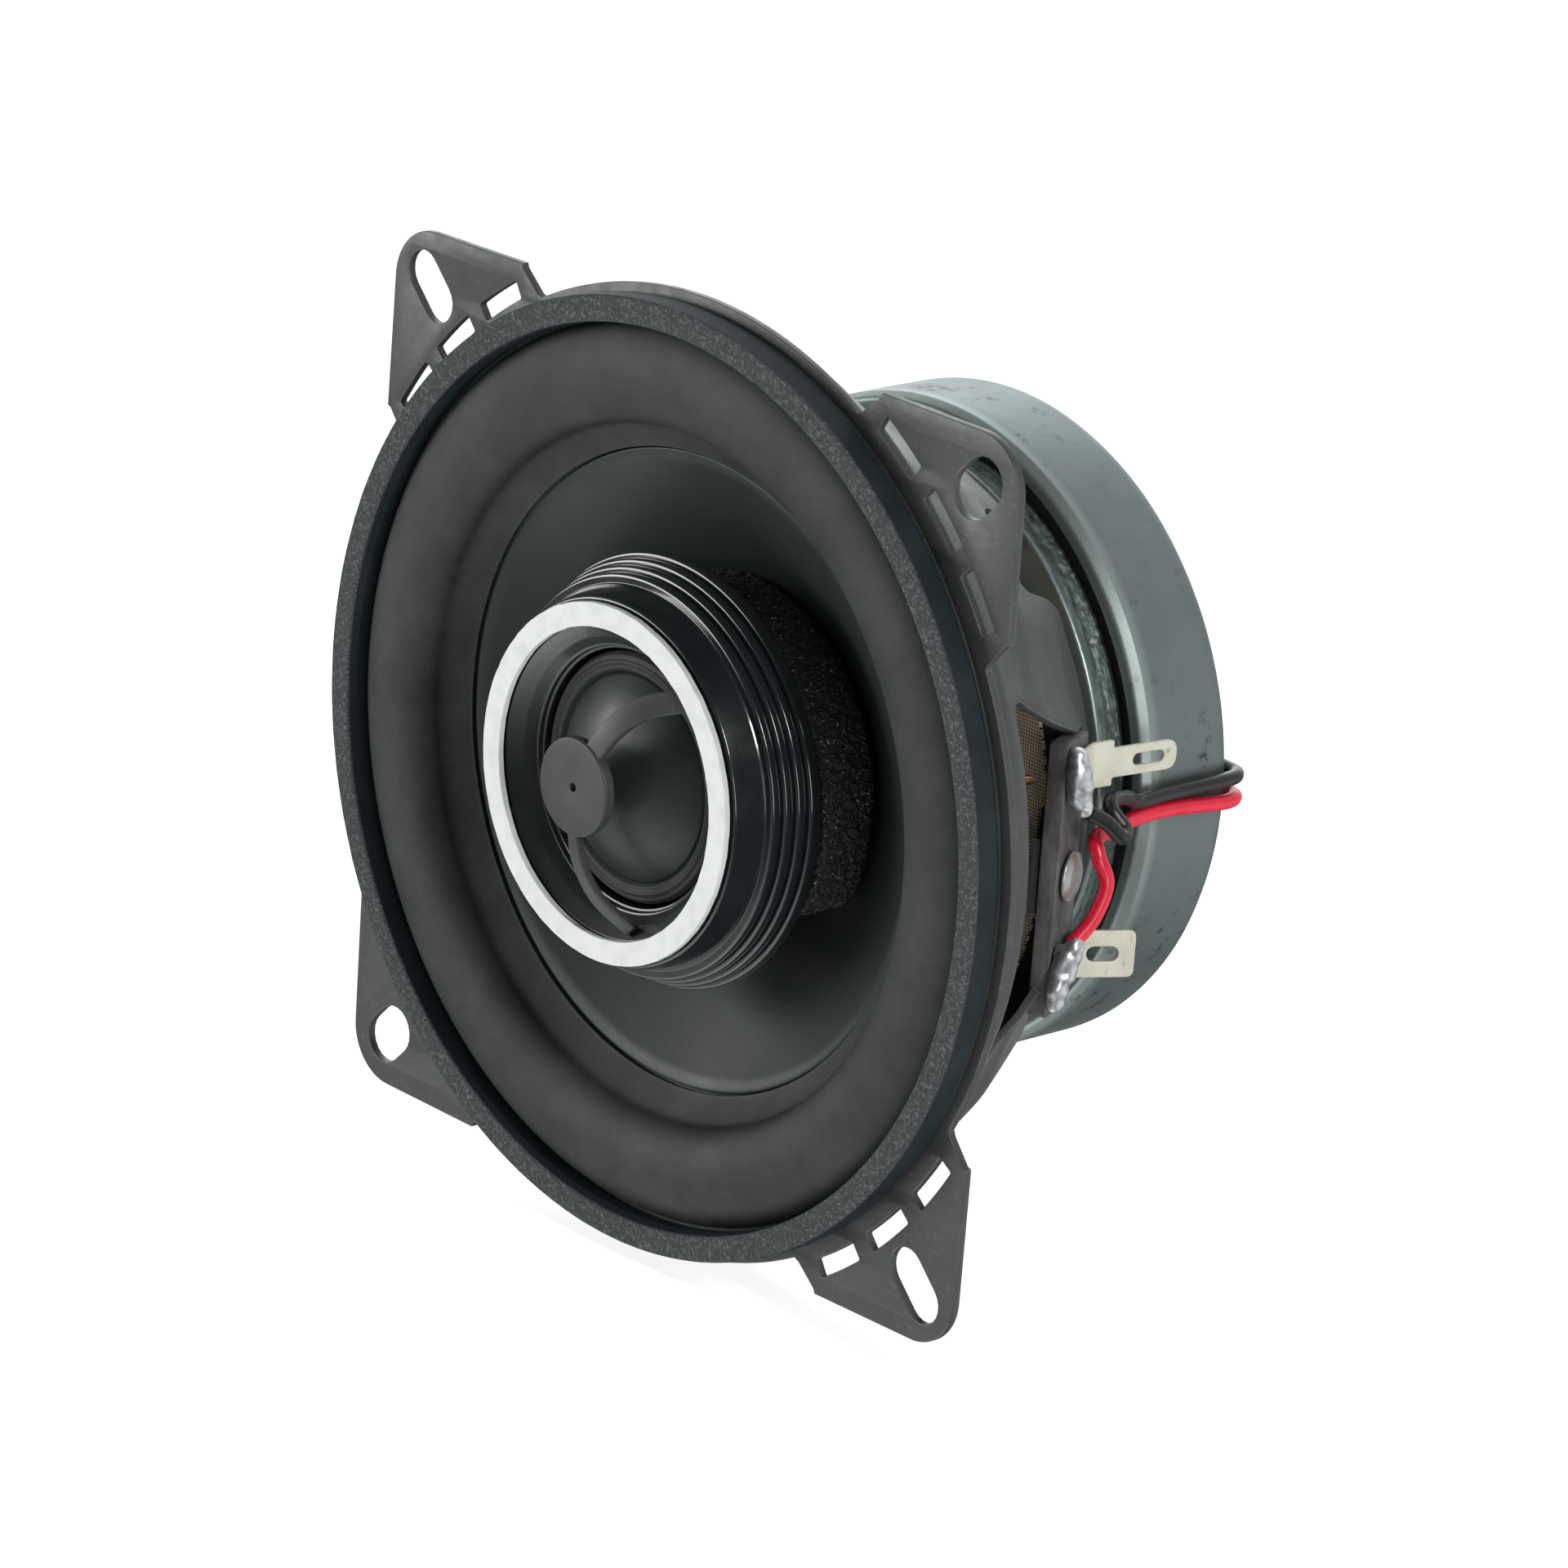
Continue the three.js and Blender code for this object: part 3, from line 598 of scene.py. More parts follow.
ON_STRIP = Matrix.Translation(STRIP_AT * MM) @ Matrix.Rotation(STRIP_LEAN, 4, "Z")   # X out, Y to the rear
GAP = 0.3
LEDGE = {"y": 18.1, "inner": 31.4, "outer": 36.5, "leg": 39.0}
HOLLOW = {"beside": 19.0, "half": 9.5, "depth": 0.7}      # grooves down each leg, in degrees off the diagonal
CORNER_WINDOW = {"half": 4.9, "front": 14.0, "inner": 27.4, "corner": 2.4}   # the opening behind each ear


def ear_outline(angle):
    """Half of the flange's outline around one ear, from the flange before it to the flange after it."""
    root = Vector(((EAR_ROOT[0] + EAR_ROOT[1]) / math.sqrt(2), (EAR_ROOT[1] - EAR_ROOT[0]) / math.sqrt(2)))
    side = Vector(((EAR_SIDE + EAR_HALF) / math.sqrt(2), (EAR_HALF - EAR_SIDE) / math.sqrt(2)))
    foot = math.degrees(math.atan2(root.y, root.x))
    points = arc(0, 0, FLANGE_R, -45, -foot - 0.5, 24)
    points += [(root.x, -root.y), (side.x - 0.15, -side.y + 0.35), (side.x + 0.35, -side.y + 0.15)]
    points += arc(HOLE_AT, 0, EAR_CORNER, -45, 45, 16)
    points += [(side.x + 0.35, side.y - 0.15), (side.x - 0.15, side.y - 0.35), (root.x, root.y)]
    points += arc(0, 0, FLANGE_R, foot + 0.5, 45, 24)[:-1]
    turn = Matrix.Rotation(math.radians(angle), 2)
    return [tuple(turn @ Vector(p)) for p in points]


def slot_hole(cx, length, width, steps=10):
    half, r = (length - width) / 2, width / 2
    return arc(cx + half, 0, r, -90, 90, steps) + arc(cx - half, 0, r, 90, 270, steps)


def arc_slit(middle, inner=51.1, outer=53.0, half=3.5):
    ring = arc(0, 0, outer, middle - half, middle + half, 8) + arc(0, 0, inner, middle + half, middle - half, 8)
    corners = [(x, y, 0.22 if i in (0, 8, 9, 17) else 0) for i, (x, y) in enumerate(ring)]
    return rounded(corners, 2)


def flange():
    outline, holes = [], []
    for angle, length, width in EARS:
        outline += ear_outline(angle)
        turn = Matrix.Rotation(math.radians(angle), 2)
        cuts = [slot_hole(HOLE_AT, length, width), *(arc_slit(pitch) for pitch in (-9.7, 0, 9.7))]
        holes += [[tuple(turn @ Vector(p)) for p in ring] for ring in cuts]
    holes.append(circle(46.0, ROUND))
    return stood_up(flat_part(outline, holes, SHEET, 0.14), -SHEET / 2)


def lerp_table(table, x):
    for (x0, v0), (x1, v1) in zip(table, table[1:]):
        if x <= x1:
            return v0 + (v1 - v0) * (x - x0) / (x1 - x0)
    return table[-1][1]


def window_half_angle(r, y):
    """Half the angle that a side window takes at a point of the wall; its corners are rounded."""
    front, rear = WINDOW[0][0], WINDOW[-1][0]
    half = lerp_table(WINDOW, max(front, y))
    inside = min(y - front, rear - y)
    lost = WINDOW_CORNER
    if inside > 0:
        lost -= math.sqrt(WINDOW_CORNER ** 2 - max(0.0, WINDOW_CORNER - inside) ** 2)
    return math.asin((half - lost) / r)


def leg_hollow(y, degrees):
    """Depth of the shallow groove pressed down the middle of each leg; its sides stand up as soft edges."""
    across = (abs(degrees - 45) - HOLLOW["beside"]) / HOLLOW["half"]
    return HOLLOW["depth"] * max(0.0, 1 - across ** 2) ** 1.5 * ramp(y, 3, 9) * (1 - ramp(y, 22.5, 27))


def wall_rows():
    """(radius, y, is a window row) down the outside of the bowl, with rows on the windows' ends."""
    line = rounded(WALL, 8, closed=False)
    front, rear = WINDOW[0][0], WINDOW[-1][0]
    at = lambda y: next(r0 + (r1 - r0) * (y - y0) / (y1 - y0)
                        for (r0, y0), (r1, y1) in zip(line, line[1:]) if y0 <= y <= y1 and y1 > y0)
    shares = [i / 44 for i in range(45)]
    window = [front + (rear - front) * (t - 0.8 * math.sin(math.tau * t) / math.tau) for t in shares]
    before = [(r, y, False) for r, y in line if y < front - 0.1]
    after = [(r, y, False) for r, y in line if y > rear + 0.1]
    return before + [(at(y), y, True) for y in window] + after


def bowl():
    """The bowl's outer skin as a quad grid that follows the windows' edges."""
    across_window, across_leg = 26, 30
    rows = wall_rows()
    first = next(i for i, row in enumerate(rows) if row[2])
    last = max(i for i, row in enumerate(rows) if row[2])
    per_row = 4 * (across_window + across_leg)
    verts, faces = [], []
    for i, (r, y, _) in enumerate(rows):
        edge = rows[min(max(i, first), last)]
        half = window_half_angle(edge[0], edge[1])
        for quadrant in range(4):
            middle = quadrant * math.pi / 2
            angles = [middle - half + 2 * half * k / across_window for k in range(across_window)]
            leg = math.pi / 2 - 2 * half
            angles += [middle + half + leg * k / across_leg for k in range(across_leg)]
            for a in angles:
                depth = leg_hollow(y, math.degrees(a) % 90)
                verts.append(((r - depth) * math.cos(a), y - depth * 0.4, (r - depth) * math.sin(a)))
    for i in range(len(rows) - 1):
        for k in range(per_row):
            in_window = k % (across_window + across_leg) < across_window
            if first <= i < last and in_window:
                continue
            nxt = (k + 1) % per_row
            faces.append((i * per_row + k, i * per_row + nxt, (i + 1) * per_row + nxt, (i + 1) * per_row + k))
    bm = mesh_of(verts, faces)
    bmesh.ops.delete(bm, geom=[v for v in bm.verts if not v.link_faces], context="VERTS")
    return bm


def ledge_ring():
    y, inner, outer = LEDGE["y"], LEDGE["inner"], LEDGE["outer"]
    return turned(rounded([(inner, y, 0.2), (outer, y, 0.2), (outer, y + SHEET, 0.2), (inner, y + SHEET, 0.2)]))


def ledge_sector(angle):
    """The wide part of the ledge, which joins the ring to a leg."""
    half = 27
    outline = arc(0, 0, LEDGE["leg"], angle - half, angle + half, 20)
    outline += arc(0, 0, LEDGE["outer"] - 0.8, angle + half + 2, angle - half - 2, 20)
    return stood_up(flat_part(outline, [], SHEET * 0.98, 0.1), LEDGE["y"] + SHEET / 2)


def corner_cutter(angle):
    """What the opening behind an ear takes out of the wall: a rounded slot pushed in along the diagonal."""
    spec, depth, rear = CORNER_WINDOW, 30, 33
    half, front, corner = spec["half"], spec["front"], spec["corner"]
    outline = rounded([(-half, front, corner), (half, front, corner), (half, rear, 0), (-half, rear, 0)], 8)
    bm = flat_part(outline, [], depth, 0.05)
    a = math.radians(angle)
    out = Vector((math.cos(a), 0, math.sin(a)))
    basis = Matrix((out.cross(Vector((0, 1, 0))), (0, 1, 0), out)).transposed().to_4x4()
    bm.transform(Matrix.Translation(out * (spec["inner"] + depth / 2) * MM) @ basis)
    return finish_mesh(bm, "cutter", "black_paint")


def joined(name, material, first, *others, minus=()):
    """Objects united into one clean shell, with their modifiers applied and the `minus` ones cut away."""
    for other in others:
        modifier(first, "BOOLEAN", object=other, operation="UNION", solver="MANIFOLD")
    for cutter in minus:
        modifier(first, "BOOLEAN", object=cutter, operation="DIFFERENCE", solver="MANIFOLD")
    graph = bpy.context.evaluated_depsgraph_get()
    bm = bmesh.new()
    bm.from_mesh(first.evaluated_get(graph).to_mesh())
    for obj in [first, *others, *minus]:
        bpy.data.objects.remove(obj)
    return finish_mesh(bm, name, material)


def strip_box(x, y, z):
    """A box on the terminal strip's axes, from (low, high) pairs."""
    corners = [(a, b, c) for a in x for b in y for c in z]
    bm = mesh_of(corners, [(0, 1, 3, 2), (4, 6, 7, 5), (0, 4, 5, 1), (2, 3, 7, 6), (0, 2, 6, 4), (1, 5, 7, 3)])
    bm.transform(ON_STRIP)
    return finish_mesh(bm, "box", "black_paint")


def basket():
    skin = finish_mesh(bowl(), "skin", "black_paint")
    outward = skin.data.polygons[0].normal.dot(skin.data.polygons[0].center)
    modifier(skin, "SOLIDIFY", thickness=SHEET * MM, offset=-1 if outward > 0 else 1, use_even_offset=True)
    modifier(skin, "BEVEL", width=0.16 * MM, segments=2, limit_method="ANGLE", angle_limit=math.radians(50))
    rim = finish_mesh(flange(), "flange", "black_paint")
    ring = finish_mesh(ledge_ring(), "ring", "black_paint")
    sectors = [finish_mesh(ledge_sector(angle), "sector", "black_paint") for angle in (45, 135, 225, 315)]
    half_w, half_l, back = STRIP["width"] / 2 + GAP, STRIP["length"] / 2 + GAP, -STRIP["thick"] - GAP
    tab = strip_box((back - SHEET, back + 0.05), (-2.4, 3.4), (-4, 4))
    modifier(tab, "BEVEL", width=0.2 * MM, segments=2, limit_method="ANGLE", angle_limit=math.radians(50))
    room = strip_box((back, 6), (-half_w, half_w), (-half_l, half_l))
    bore = turned([(0, -6), (1.8, -6), (1.8, 6), (0, 6)], 32)
    bore.transform(ON_STRIP @ Matrix.Rotation(-math.pi / 2, 4, "Z"))
    minus = [corner_cutter(angle) for angle in (45, 135, 225, 315)]
    minus += [room, finish_mesh(bore, "bore", "black_paint")]
    shell = joined("shell", "black_paint", skin, rim, *sectors, minus=minus)
    stand_for(joined("steel_basket", "black_paint", shell, ring, tab), "basket")


# ---------------- cone and its suspension
CONE_R = 36.2
CREASE_R = 33.3
CREASE_Y = 1.4
CONE_SLOPE = 0.619
FORMER_R = 12.8


def cone_y(r):
    return CREASE_Y + (CREASE_R - r) * CONE_SLOPE


def surround():
    out, rise, skin = 46.5, 2.9, 0.55
    half = (out - CONE_R) / 2

    def roll(thin, steps=28):
        shares = [i / steps for i in range(steps + 1)]
        return [(out - half + (half - thin) * math.cos(math.pi * t),
                 -1.3 + 0.3 * t - (rise - thin) * math.sin(math.pi * t)) for t in shares]

    front = [(49.2, -1.62), *roll(0), (CONE_R - 0.35, -0.55), (CONE_R - 0.9, -0.2)]
    front += [(CREASE_R + out, CREASE_Y + deep) for out, deep in ((0.5, -0.28), (0.12, -0.12), (0.1, 0.1))]
    back = [(CREASE_R + 0.3, CREASE_Y + 0.25), (CONE_R + 0.3, -0.25), *reversed(roll(skin)), (49.2, -1.2)]
    obj = finish_mesh(turned(front + back), "surround_roll", "surround_rubber", sharp=60)
    stretch_between(obj, "surround", lambda p: ramp(math.hypot(p.x, p.z), 46.4, CONE_R))


def gasket():
    outline = [(46.7, -1.9, 0.15), (46.7, -4.74, 0.45), (49.5, -4.74, 0.35), (49.5, -1.9, 0.15)]
    ripple = lambda p, a: p + Vector((0, 0.03 * lumps((p.x, p.y * 3, p.z), 0.9), 0))
    turned_part("gasket_ring", "sealing_ring", "gasket_foam", rounded(outline, 5), 360, ripple)


def cone():
    neck, skin = FORMER_R + 0.6, 0.7
    r = CONE_R + 0.2
    steps = [CREASE_R - 0.35 - i * 1.2 for i in range(16)]
    front = [(r, 0.2, 0.1), (CREASE_R + 0.1, 2.1, 0), (CREASE_R - 0.1, CREASE_Y + 0.25, 0.1)]
    front += [(s, cone_y(s) + 0.05 * math.sin((CREASE_R - s) / 19 * math.pi), 0) for s in steps]
    front += [(neck + 0.6, cone_y(neck + 0.6), 0.5), (neck, cone_y(neck) + 0.8, 0)]
    back = [(neck, 15.6, 0.1), (neck + 0.9, 15.6, 0.1), (neck + 0.9, cone_y(neck + 0.9) + skin + 0.2, 0.8)]
    back += [(22, cone_y(22) + skin + 0.2, 0), (CREASE_R + 0.1, 2.95, 0.3), (r, 1.1, 0.1)]
    turned_part("cone", "cone_body", "cone_plastic", rounded(front + back))


def spider():
    inner, outer, waves, cloth = FORMER_R + 0.6, 36.2, 4, 0.42
    foot = LEDGE["y"] - 0.3 - cloth

    def sheet_line(lift):
        steps = 96
        line = [(inner, foot + lift)]
        for i in range(steps + 1):
            t = i / steps
            r = inner + 1.2 + (LEDGE["inner"] - 1.0 - inner - 1.2) * t
            swell = 0.15 + 0.85 * min(1, 6 * t, 6 * (1 - t))
            line.append((r, foot + lift - 0.3 * swell + 0.75 * swell * math.cos(math.tau * waves * t)))
        return [*line, (LEDGE["inner"] + 0.2, foot + lift), (outer, foot + lift)]

    def notched(p, a):
        return Vector((min(p.x, 35.0), p.y, p.z)) if abs(p.z) < 4.4 else p

    bm = turned(sheet_line(0) + sheet_line(cloth)[::-1], 360, notched)
    obj = finish_mesh(bm, "spider_cloth", "spider_cloth", sharp=60)
    stretch_between(obj, "spider", lambda p: 1 - ramp(math.hypot(p.x, p.z), inner + 1, LEDGE["inner"] - 0.4))


def voice_coil():
    skin, start, end = FORMER_R + 0.3, 13.2, 36
    former = rounded([(FORMER_R, start, 0.1), (skin, start, 0.1), (skin, end, 0.1), (FORMER_R, end, 0.1)])
    turned_part("voice_coil_former", "coil_former", "kapton", former, FINE)
    wire, front, rear = 0.25, 27.9, 34.9
    base = FORMER_R + 0.6
    count = round((rear - front) / wire)
    outline = [(base, front)]
    for turn in range(count):
        middle = front + wire * (turn + 0.5)
        outline += [(base + 0.225 + wire / 2 * math.cos(a), middle + wire / 2 * math.sin(a))
                    for a in (-1.2, -0.5, 0.5, 1.2)]
    outline.append((base, rear))
    turned_part("voice_coil", "coil_winding", "copper", outline, FINE, sharp=60)


# ---------------- motor
def top_plate():
    """The rim is sheared: smooth near its front edge, torn and rough behind."""
    r, front, rear, bore = 31.3, 29.5, 33.4, 14.1
    rim = [(r, front + 0.3 + (rear - front - 0.55) * i / 14) for i in range(15)]
    outline = [(bore, front), (r - 0.3, front), (r - 0.1, front + 0.08), *rim, (r - 0.3, rear), (bore, rear)]

    def torn(p, a):
        radius = math.hypot(p.x, p.z)
        if radius < r - 0.2:
            return p
        line = front + 1.5 + 0.5 * lumps((math.cos(a) * 9, 0, math.sin(a) * 9), 0.5)
        rough = ramp(p.y, line - 0.3, line + 0.4)
        depth = rough * (0.12 + 0.16 * lumps((p.x, p.y * 0.6, p.z), 1.6)) + 0.03 * lumps(p, 2.5)
        return Vector((p.x * (1 - depth / radius), p.y, p.z * (1 - depth / radius)))

    turned_part("top_plate", "front_plate", "zinc_plate", outline, 900, torn, sharp=60)


def magnet():
    outline = [(16, 33.7, 0.4), (33.2, 33.7, 0.6), (33.2, 41.2, 0.6), (16, 41.2, 0.4)]
    chip = lambda p, a: p * (1 - 0.0025 * max(0, lumps(p, 0.8) - 0.25))
    turned_part("magnet_ring", "ferrite_ring", "ferrite", rounded(outline), 360, chip)


def yoke():
    bore, pole, plate = 4.3, FORMER_R - 0.4, 31
    front, step, rear = 28.9, 41.5, 43.5
    outline = [(bore, front, 0.3), (pole, front, 0.5), (pole, step, 0.3),
               (plate, step, 0.3), (plate, rear, 0.5), (bore, rear, 0.3)]
    turned_part("pole_yoke", "yoke_and_pole", "zinc_plate", rounded(outline))


def can():
    r, front, rear, wall, bore = 34.9, 32.9, 44.6, 0.8, 10
    outline = [(r - 1.8, front, 0.15), (r - 1.95, front - 0.4, 0.15), (r - 0.7, front - 0.45, 0.7),
               (r - 0.05, front + 0.7, 0.6), (r, front + 2.4, 0.8), (r, rear, 1.5),
               (bore + 1.5, rear, 0.6), (bore, rear - 0.35, 0.2), (bore, rear - 0.65, 0.15),
               (r - wall, rear - 0.68, 0.8), (r - wall, front + 0.8, 0.3)]
    dent = lambda p, a: p * (1 + 0.0006 * lumps((p.x, p.y * 0.4, p.z), 0.09, 2))
    turned_part("magnet_can", "steel_can", "can_steel", rounded(outline, 6), 360, dent)


# ---------------- tweeter
LIFT = 0.6                       # the tweeter sits this far above the speaker's axis
TRIM = {"front": -9.7, "inner": 16.1, "outer": 18.6, "thick": 0.7}
RIBS = {"from": 20.3, "front": -5.35, "step": 0.55, "pitch": 1.2, "count": 4}
DOME = {"r": 10.8, "edge": -5.4, "apex": -9.4}


def lifted(bm):
    bm.transform(Matrix.Translation((0, 0, LIFT * MM)))
    return bm


def housing():
    land = TRIM["front"] + TRIM["thick"] + 0.3
    outline = [(TRIM["inner"], land, 0.15), (TRIM["outer"] + 0.35, land, 0.3)]
    outline += [(RIBS["from"] - 0.55, RIBS["front"] - 0.25, 0.5), (RIBS["from"] - 0.45, RIBS["front"], 0.1)]
    for i in range(RIBS["count"]):
        r, y = RIBS["from"] + RIBS["step"] * (i + 1), RIBS["front"] + RIBS["pitch"] * i
        groove = r - 0.3
        outline += [(r, y, 0.42), (r, y + 0.9, 0.1), (groove, y + 0.98, 0.06), (groove, y + RIBS["pitch"], 0.06)]
    outline = outline[:-3]
    outline += [(22.5, -0.3, 0.3), (19.6, -0.3, 0.1), (19.6, -4.3, 0.1), (14.4, -4.6, 0.1), (13.3, -5.1, 0.1)]
    outline += [(13.35, -5.9, 0.12), (13.6, -5.95, 0.12), (13.7, -6.4, 0.3), (13.9, -6.45, 0.3), (14.7, -7.5, 1.5)]
    bm = lifted(turned(rounded(outline, 6)))
    stand_for(finish_mesh(bm, "tweeter_body", "gloss_black", sharp=50), "tweeter_housing")


def trim_ring():
    inner, outer, front = TRIM["inner"], TRIM["outer"], TRIM["front"]
    back = front + TRIM["thick"]
    outline = [(inner, front, 0.12), (outer, front, 0.12), (outer, back, 0.1), (inner, back, 0.1)]

    def ragged(p, a):
        wave = 1 + 0.0025 * lumps((p.x, 0, p.z), 0.7)
        return Vector((p.x * wave, p.y, p.z * wave))

    bm = lifted(turned(rounded(outline), 360, ragged))
    stand_for(finish_mesh(bm, "white_ring", "white_trim"), "trim_ring")


def dome_line(r, edge, apex, steps):
    height = edge - apex
    sphere = (r * r + height * height) / (2 * height)
    spread = math.asin(r / sphere)
    shares = [spread * i / steps for i in range(steps + 1)]
    return [(sphere * math.sin(a), apex + sphere * (1 - math.cos(a))) for a in shares]


def dome():
    r, edge, apex, skin = DOME["r"], DOME["edge"], DOME["apex"], 0.3
    outline = dome_line(r, edge, apex, 30) + dome_line(r, edge + skin, apex + skin, 30)[::-1]
    stand_for(finish_mesh(lifted(turned(outline, FINE)), "dome_shell", "dome_film", sharp=60), "tweeter_dome")
    roll = lambda t: 0.1 * t - 0.5 * math.sin(math.pi * t) - 0.14 * math.sin(3 * math.pi * t) ** 2
    line = [(r + 0.04 + 2.11 * i / 36, edge + roll(i / 36)) for i in range(37)]
    outline = line + [(x, y + 0.3) for x, y in reversed(line)]
    edge_roll = finish_mesh(lifted(turned(outline, FINE)), "dome_edge", "surround_rubber", sharp=60)
    weight = lambda p: 1 - ramp(math.hypot(p.x, p.z), r + 0.4, r + 2)
    stretch_between(edge_roll, "dome_suspension", weight)


PLUG = {"r": 5.1, "front": -13.6, "thick": 1.2, "hole": 0.45, "rise": 0.4}


def polar(r, degrees, y):
    a = math.radians(degrees)
    return Vector((r * math.cos(a), y, r * math.sin(a)))


def plug_arm(points, width, depth):
    """A flat bar that arches from the disc to the recess wall, with its face to the front."""
    path = smooth_line(points, 8)
    half = width / 2
    section = rounded([(-half, 0, 0.22), (half, 0, 0.22), (half, depth, 0.22), (-half, depth, 0.22)], 3)
    rings = []
    for at, along in zip(path, tangents_of(path)):
        across = Vector((0, -1, 0)).cross(along).normalized()
        rings.append([at + across * u + Vector((0, v, 0)) for u, v in section])
    return finish_mesh(skinned(rings), "arm", "satin_black")


def phase_plug():
    r, front, thick, hole = PLUG["r"], PLUG["front"], PLUG["thick"], PLUG["hole"]
    outline = [(hole, front, 0.12), (r, front, 0.25), (r, front + thick, 0.15), (hole, front + thick, 0.1)]
    disc = finish_mesh(turned(rounded(outline), FINE), "disc", "satin_black")
    upper = plug_arm([polar(3.6, 62, front + 0.1), polar(8, 60, front + 0.7), polar(12, 55, front + 2.3),
                      polar(15.5, 47, front + 4.6)], 2.4, 1)
    lower = plug_arm([polar(3.6, -92, front + 0.1), polar(8, -88, front + 0.8), polar(12, -82, front + 2.4),
                      polar(15.6, -73, front + 4.8)], 1.5, 1)
    plug = joined("plug_and_arms", "satin_black", disc, upper, lower)
    plug.data.transform(Matrix.Translation((0, 0, (LIFT + PLUG["rise"]) * MM)))
    stand_for(plug, "phase_plug")


def tweeter_base():
    outline = [(19.3, -2, 0.2), (19.3, 0.3, 0.2), (17, 0.3, 0.3), (17, 6, 0.6), (6.6, 6, 0.3), (6.6, 8.5, 0.2),
               (2.7, 8.5, 0.1), (2.7, 5.1, 0.1), (16.1, 5.1, 0.3), (16.1, -2, 0.2)]
    stand_for(finish_mesh(lifted(turned(rounded(outline), FINE)), "base_cup", "satin_black"), "tweeter_base")


# ---------------- foam
FOAM = {"inner": 17.4, "outer": 22.0, "low": 19.4, "front": 0.6, "start": -36.0, "end": 300.0}


def foam_outer(degrees):
    """The strip is full where it was pressed on last and thinner further round."""
    full = ramp(degrees, FOAM["start"] - 10, FOAM["start"] + 16) * (1 - ramp(degrees, 0, 75))
    return FOAM["low"] + (FOAM["outer"] - FOAM["low"]) * full


def foam_ring():
    """An open-cell strip wrapped round the tweeter's base, torn where it was cut."""
    inner, front, step = FOAM["inner"], FOAM["front"], 0.22
    sweep = FOAM["end"] - FOAM["start"]
    steps = round(math.radians(sweep) * FOAM["outer"] / step)
    around, rings = 68, []
    for i in range(steps + 1):
        degrees = FOAM["start"] + sweep * i / steps
        a = math.radians(degrees)
        outer = foam_outer(degrees)
        rear_in, rear_out = cone_y(inner + LIFT) - 0.5, cone_y(outer + LIFT) - 0.45
        corners = [(inner, front), (outer, front), (outer, rear_out), (inner, rear_in)]
        away = Vector((math.cos(a), 0, math.sin(a)))
        middle = away * (inner + outer) / 2 + Vector((0, (front + rear_out) / 2, 0))
        ring = []
        for (x0, y0), (x1, y1) in zip(corners, corners[1:] + corners[:1]):
            for k in range(around // 4):
                t = 4 * k / around
                r, y = x0 + (x1 - x0) * t, y0 + (y1 - y0) * t
                p = away * r + Vector((0, y, 0))
                out = (p - middle).normalized() * 0.6 + away * 0.4
                pore = noise.cell_vector(p * 1.9).x * 0.2 + lumps(p, 1.3) * 0.3
                torn = 0.9 * max(0.0, 1 - i / 8) * (0.5 + abs(lumps(p, 0.9)))
                ring.append(p - out * (0.34 + max(-0.32, pore) + torn) * (1 if r > inner + 0.3 else 0.2))
        rings.append(ring)
    obj = finish_mesh(lifted(skinned(rings)), "foam_strip", "open_foam", sharp=80)
    stretch_between(obj, "foam_ring", lambda p: ramp(p.y, front + 0.3, cone_y(FOAM["outer"]) - 1))


# ---------------- terminals
def strip():
    w, l = STRIP["width"] / 2, STRIP["length"] / 2
    outline = rounded([(-w, -l, 0.5), (w, -l, 0.5), (w, l, 0.5), (-w, l, 0.5)], 3)
    bm = flat_part(outline, [circle(1.8, 32)], STRIP["thick"], 0.18)
    bmesh.ops.triangulate(bm, faces=bm.faces)
    # the plate's X is the strip's Y, its Y is Z, and its thickness runs in from the face
    basis = Matrix(((0, 0, 1, -STRIP["thick"] / 2 * MM), (1, 0, 0, 0), (0, 1, 0, 0), (0, 0, 0, 1)))
    bm.transform(ON_STRIP @ basis)
    stand_for(finish_mesh(bm, "terminal_board", "phenolic"), "terminal_strip")


def strip_rivet():
    head, shank = 2.6, 1.5
    outline = [(0, 0.95 + GAP, 0), (0.7, 0.9 + GAP, 0.4), (1.7, 0.72 + GAP, 0.6), (head, 0.3 + GAP, 0.25),
               (head, GAP, 0.12), (shank, GAP, 0.1), (shank, -3.5, 0.2), (0, -3.5, 0)]
    bm = turned(rounded(outline, 4), FINE)
    bm.transform(ON_STRIP @ Matrix.Rotation(-math.pi / 2, 4, "Z"))
    stand_for(finish_mesh(bm, "board_rivet", "rivet_steel"), "strip_rivet")


LUG_T = 0.5
LUGS = {
    "lug_small": {"z": 10.8, "length": 10.3, "width": 3.1, "root": 4.8, "shoulder": 2.6, "lean": 10, "drop": -1,
                  "round": 1.3, "slot": (6.9, 3.8, 1.3)},
    "lug_large": {"z": -9.1, "length": 6.7, "width": 5.0, "root": 5.0, "shoulder": 3.0, "lean": 20, "drop": 3.5,
                  "round": 0.8, "slot": (3.1, 3.6, 1.6)},
}


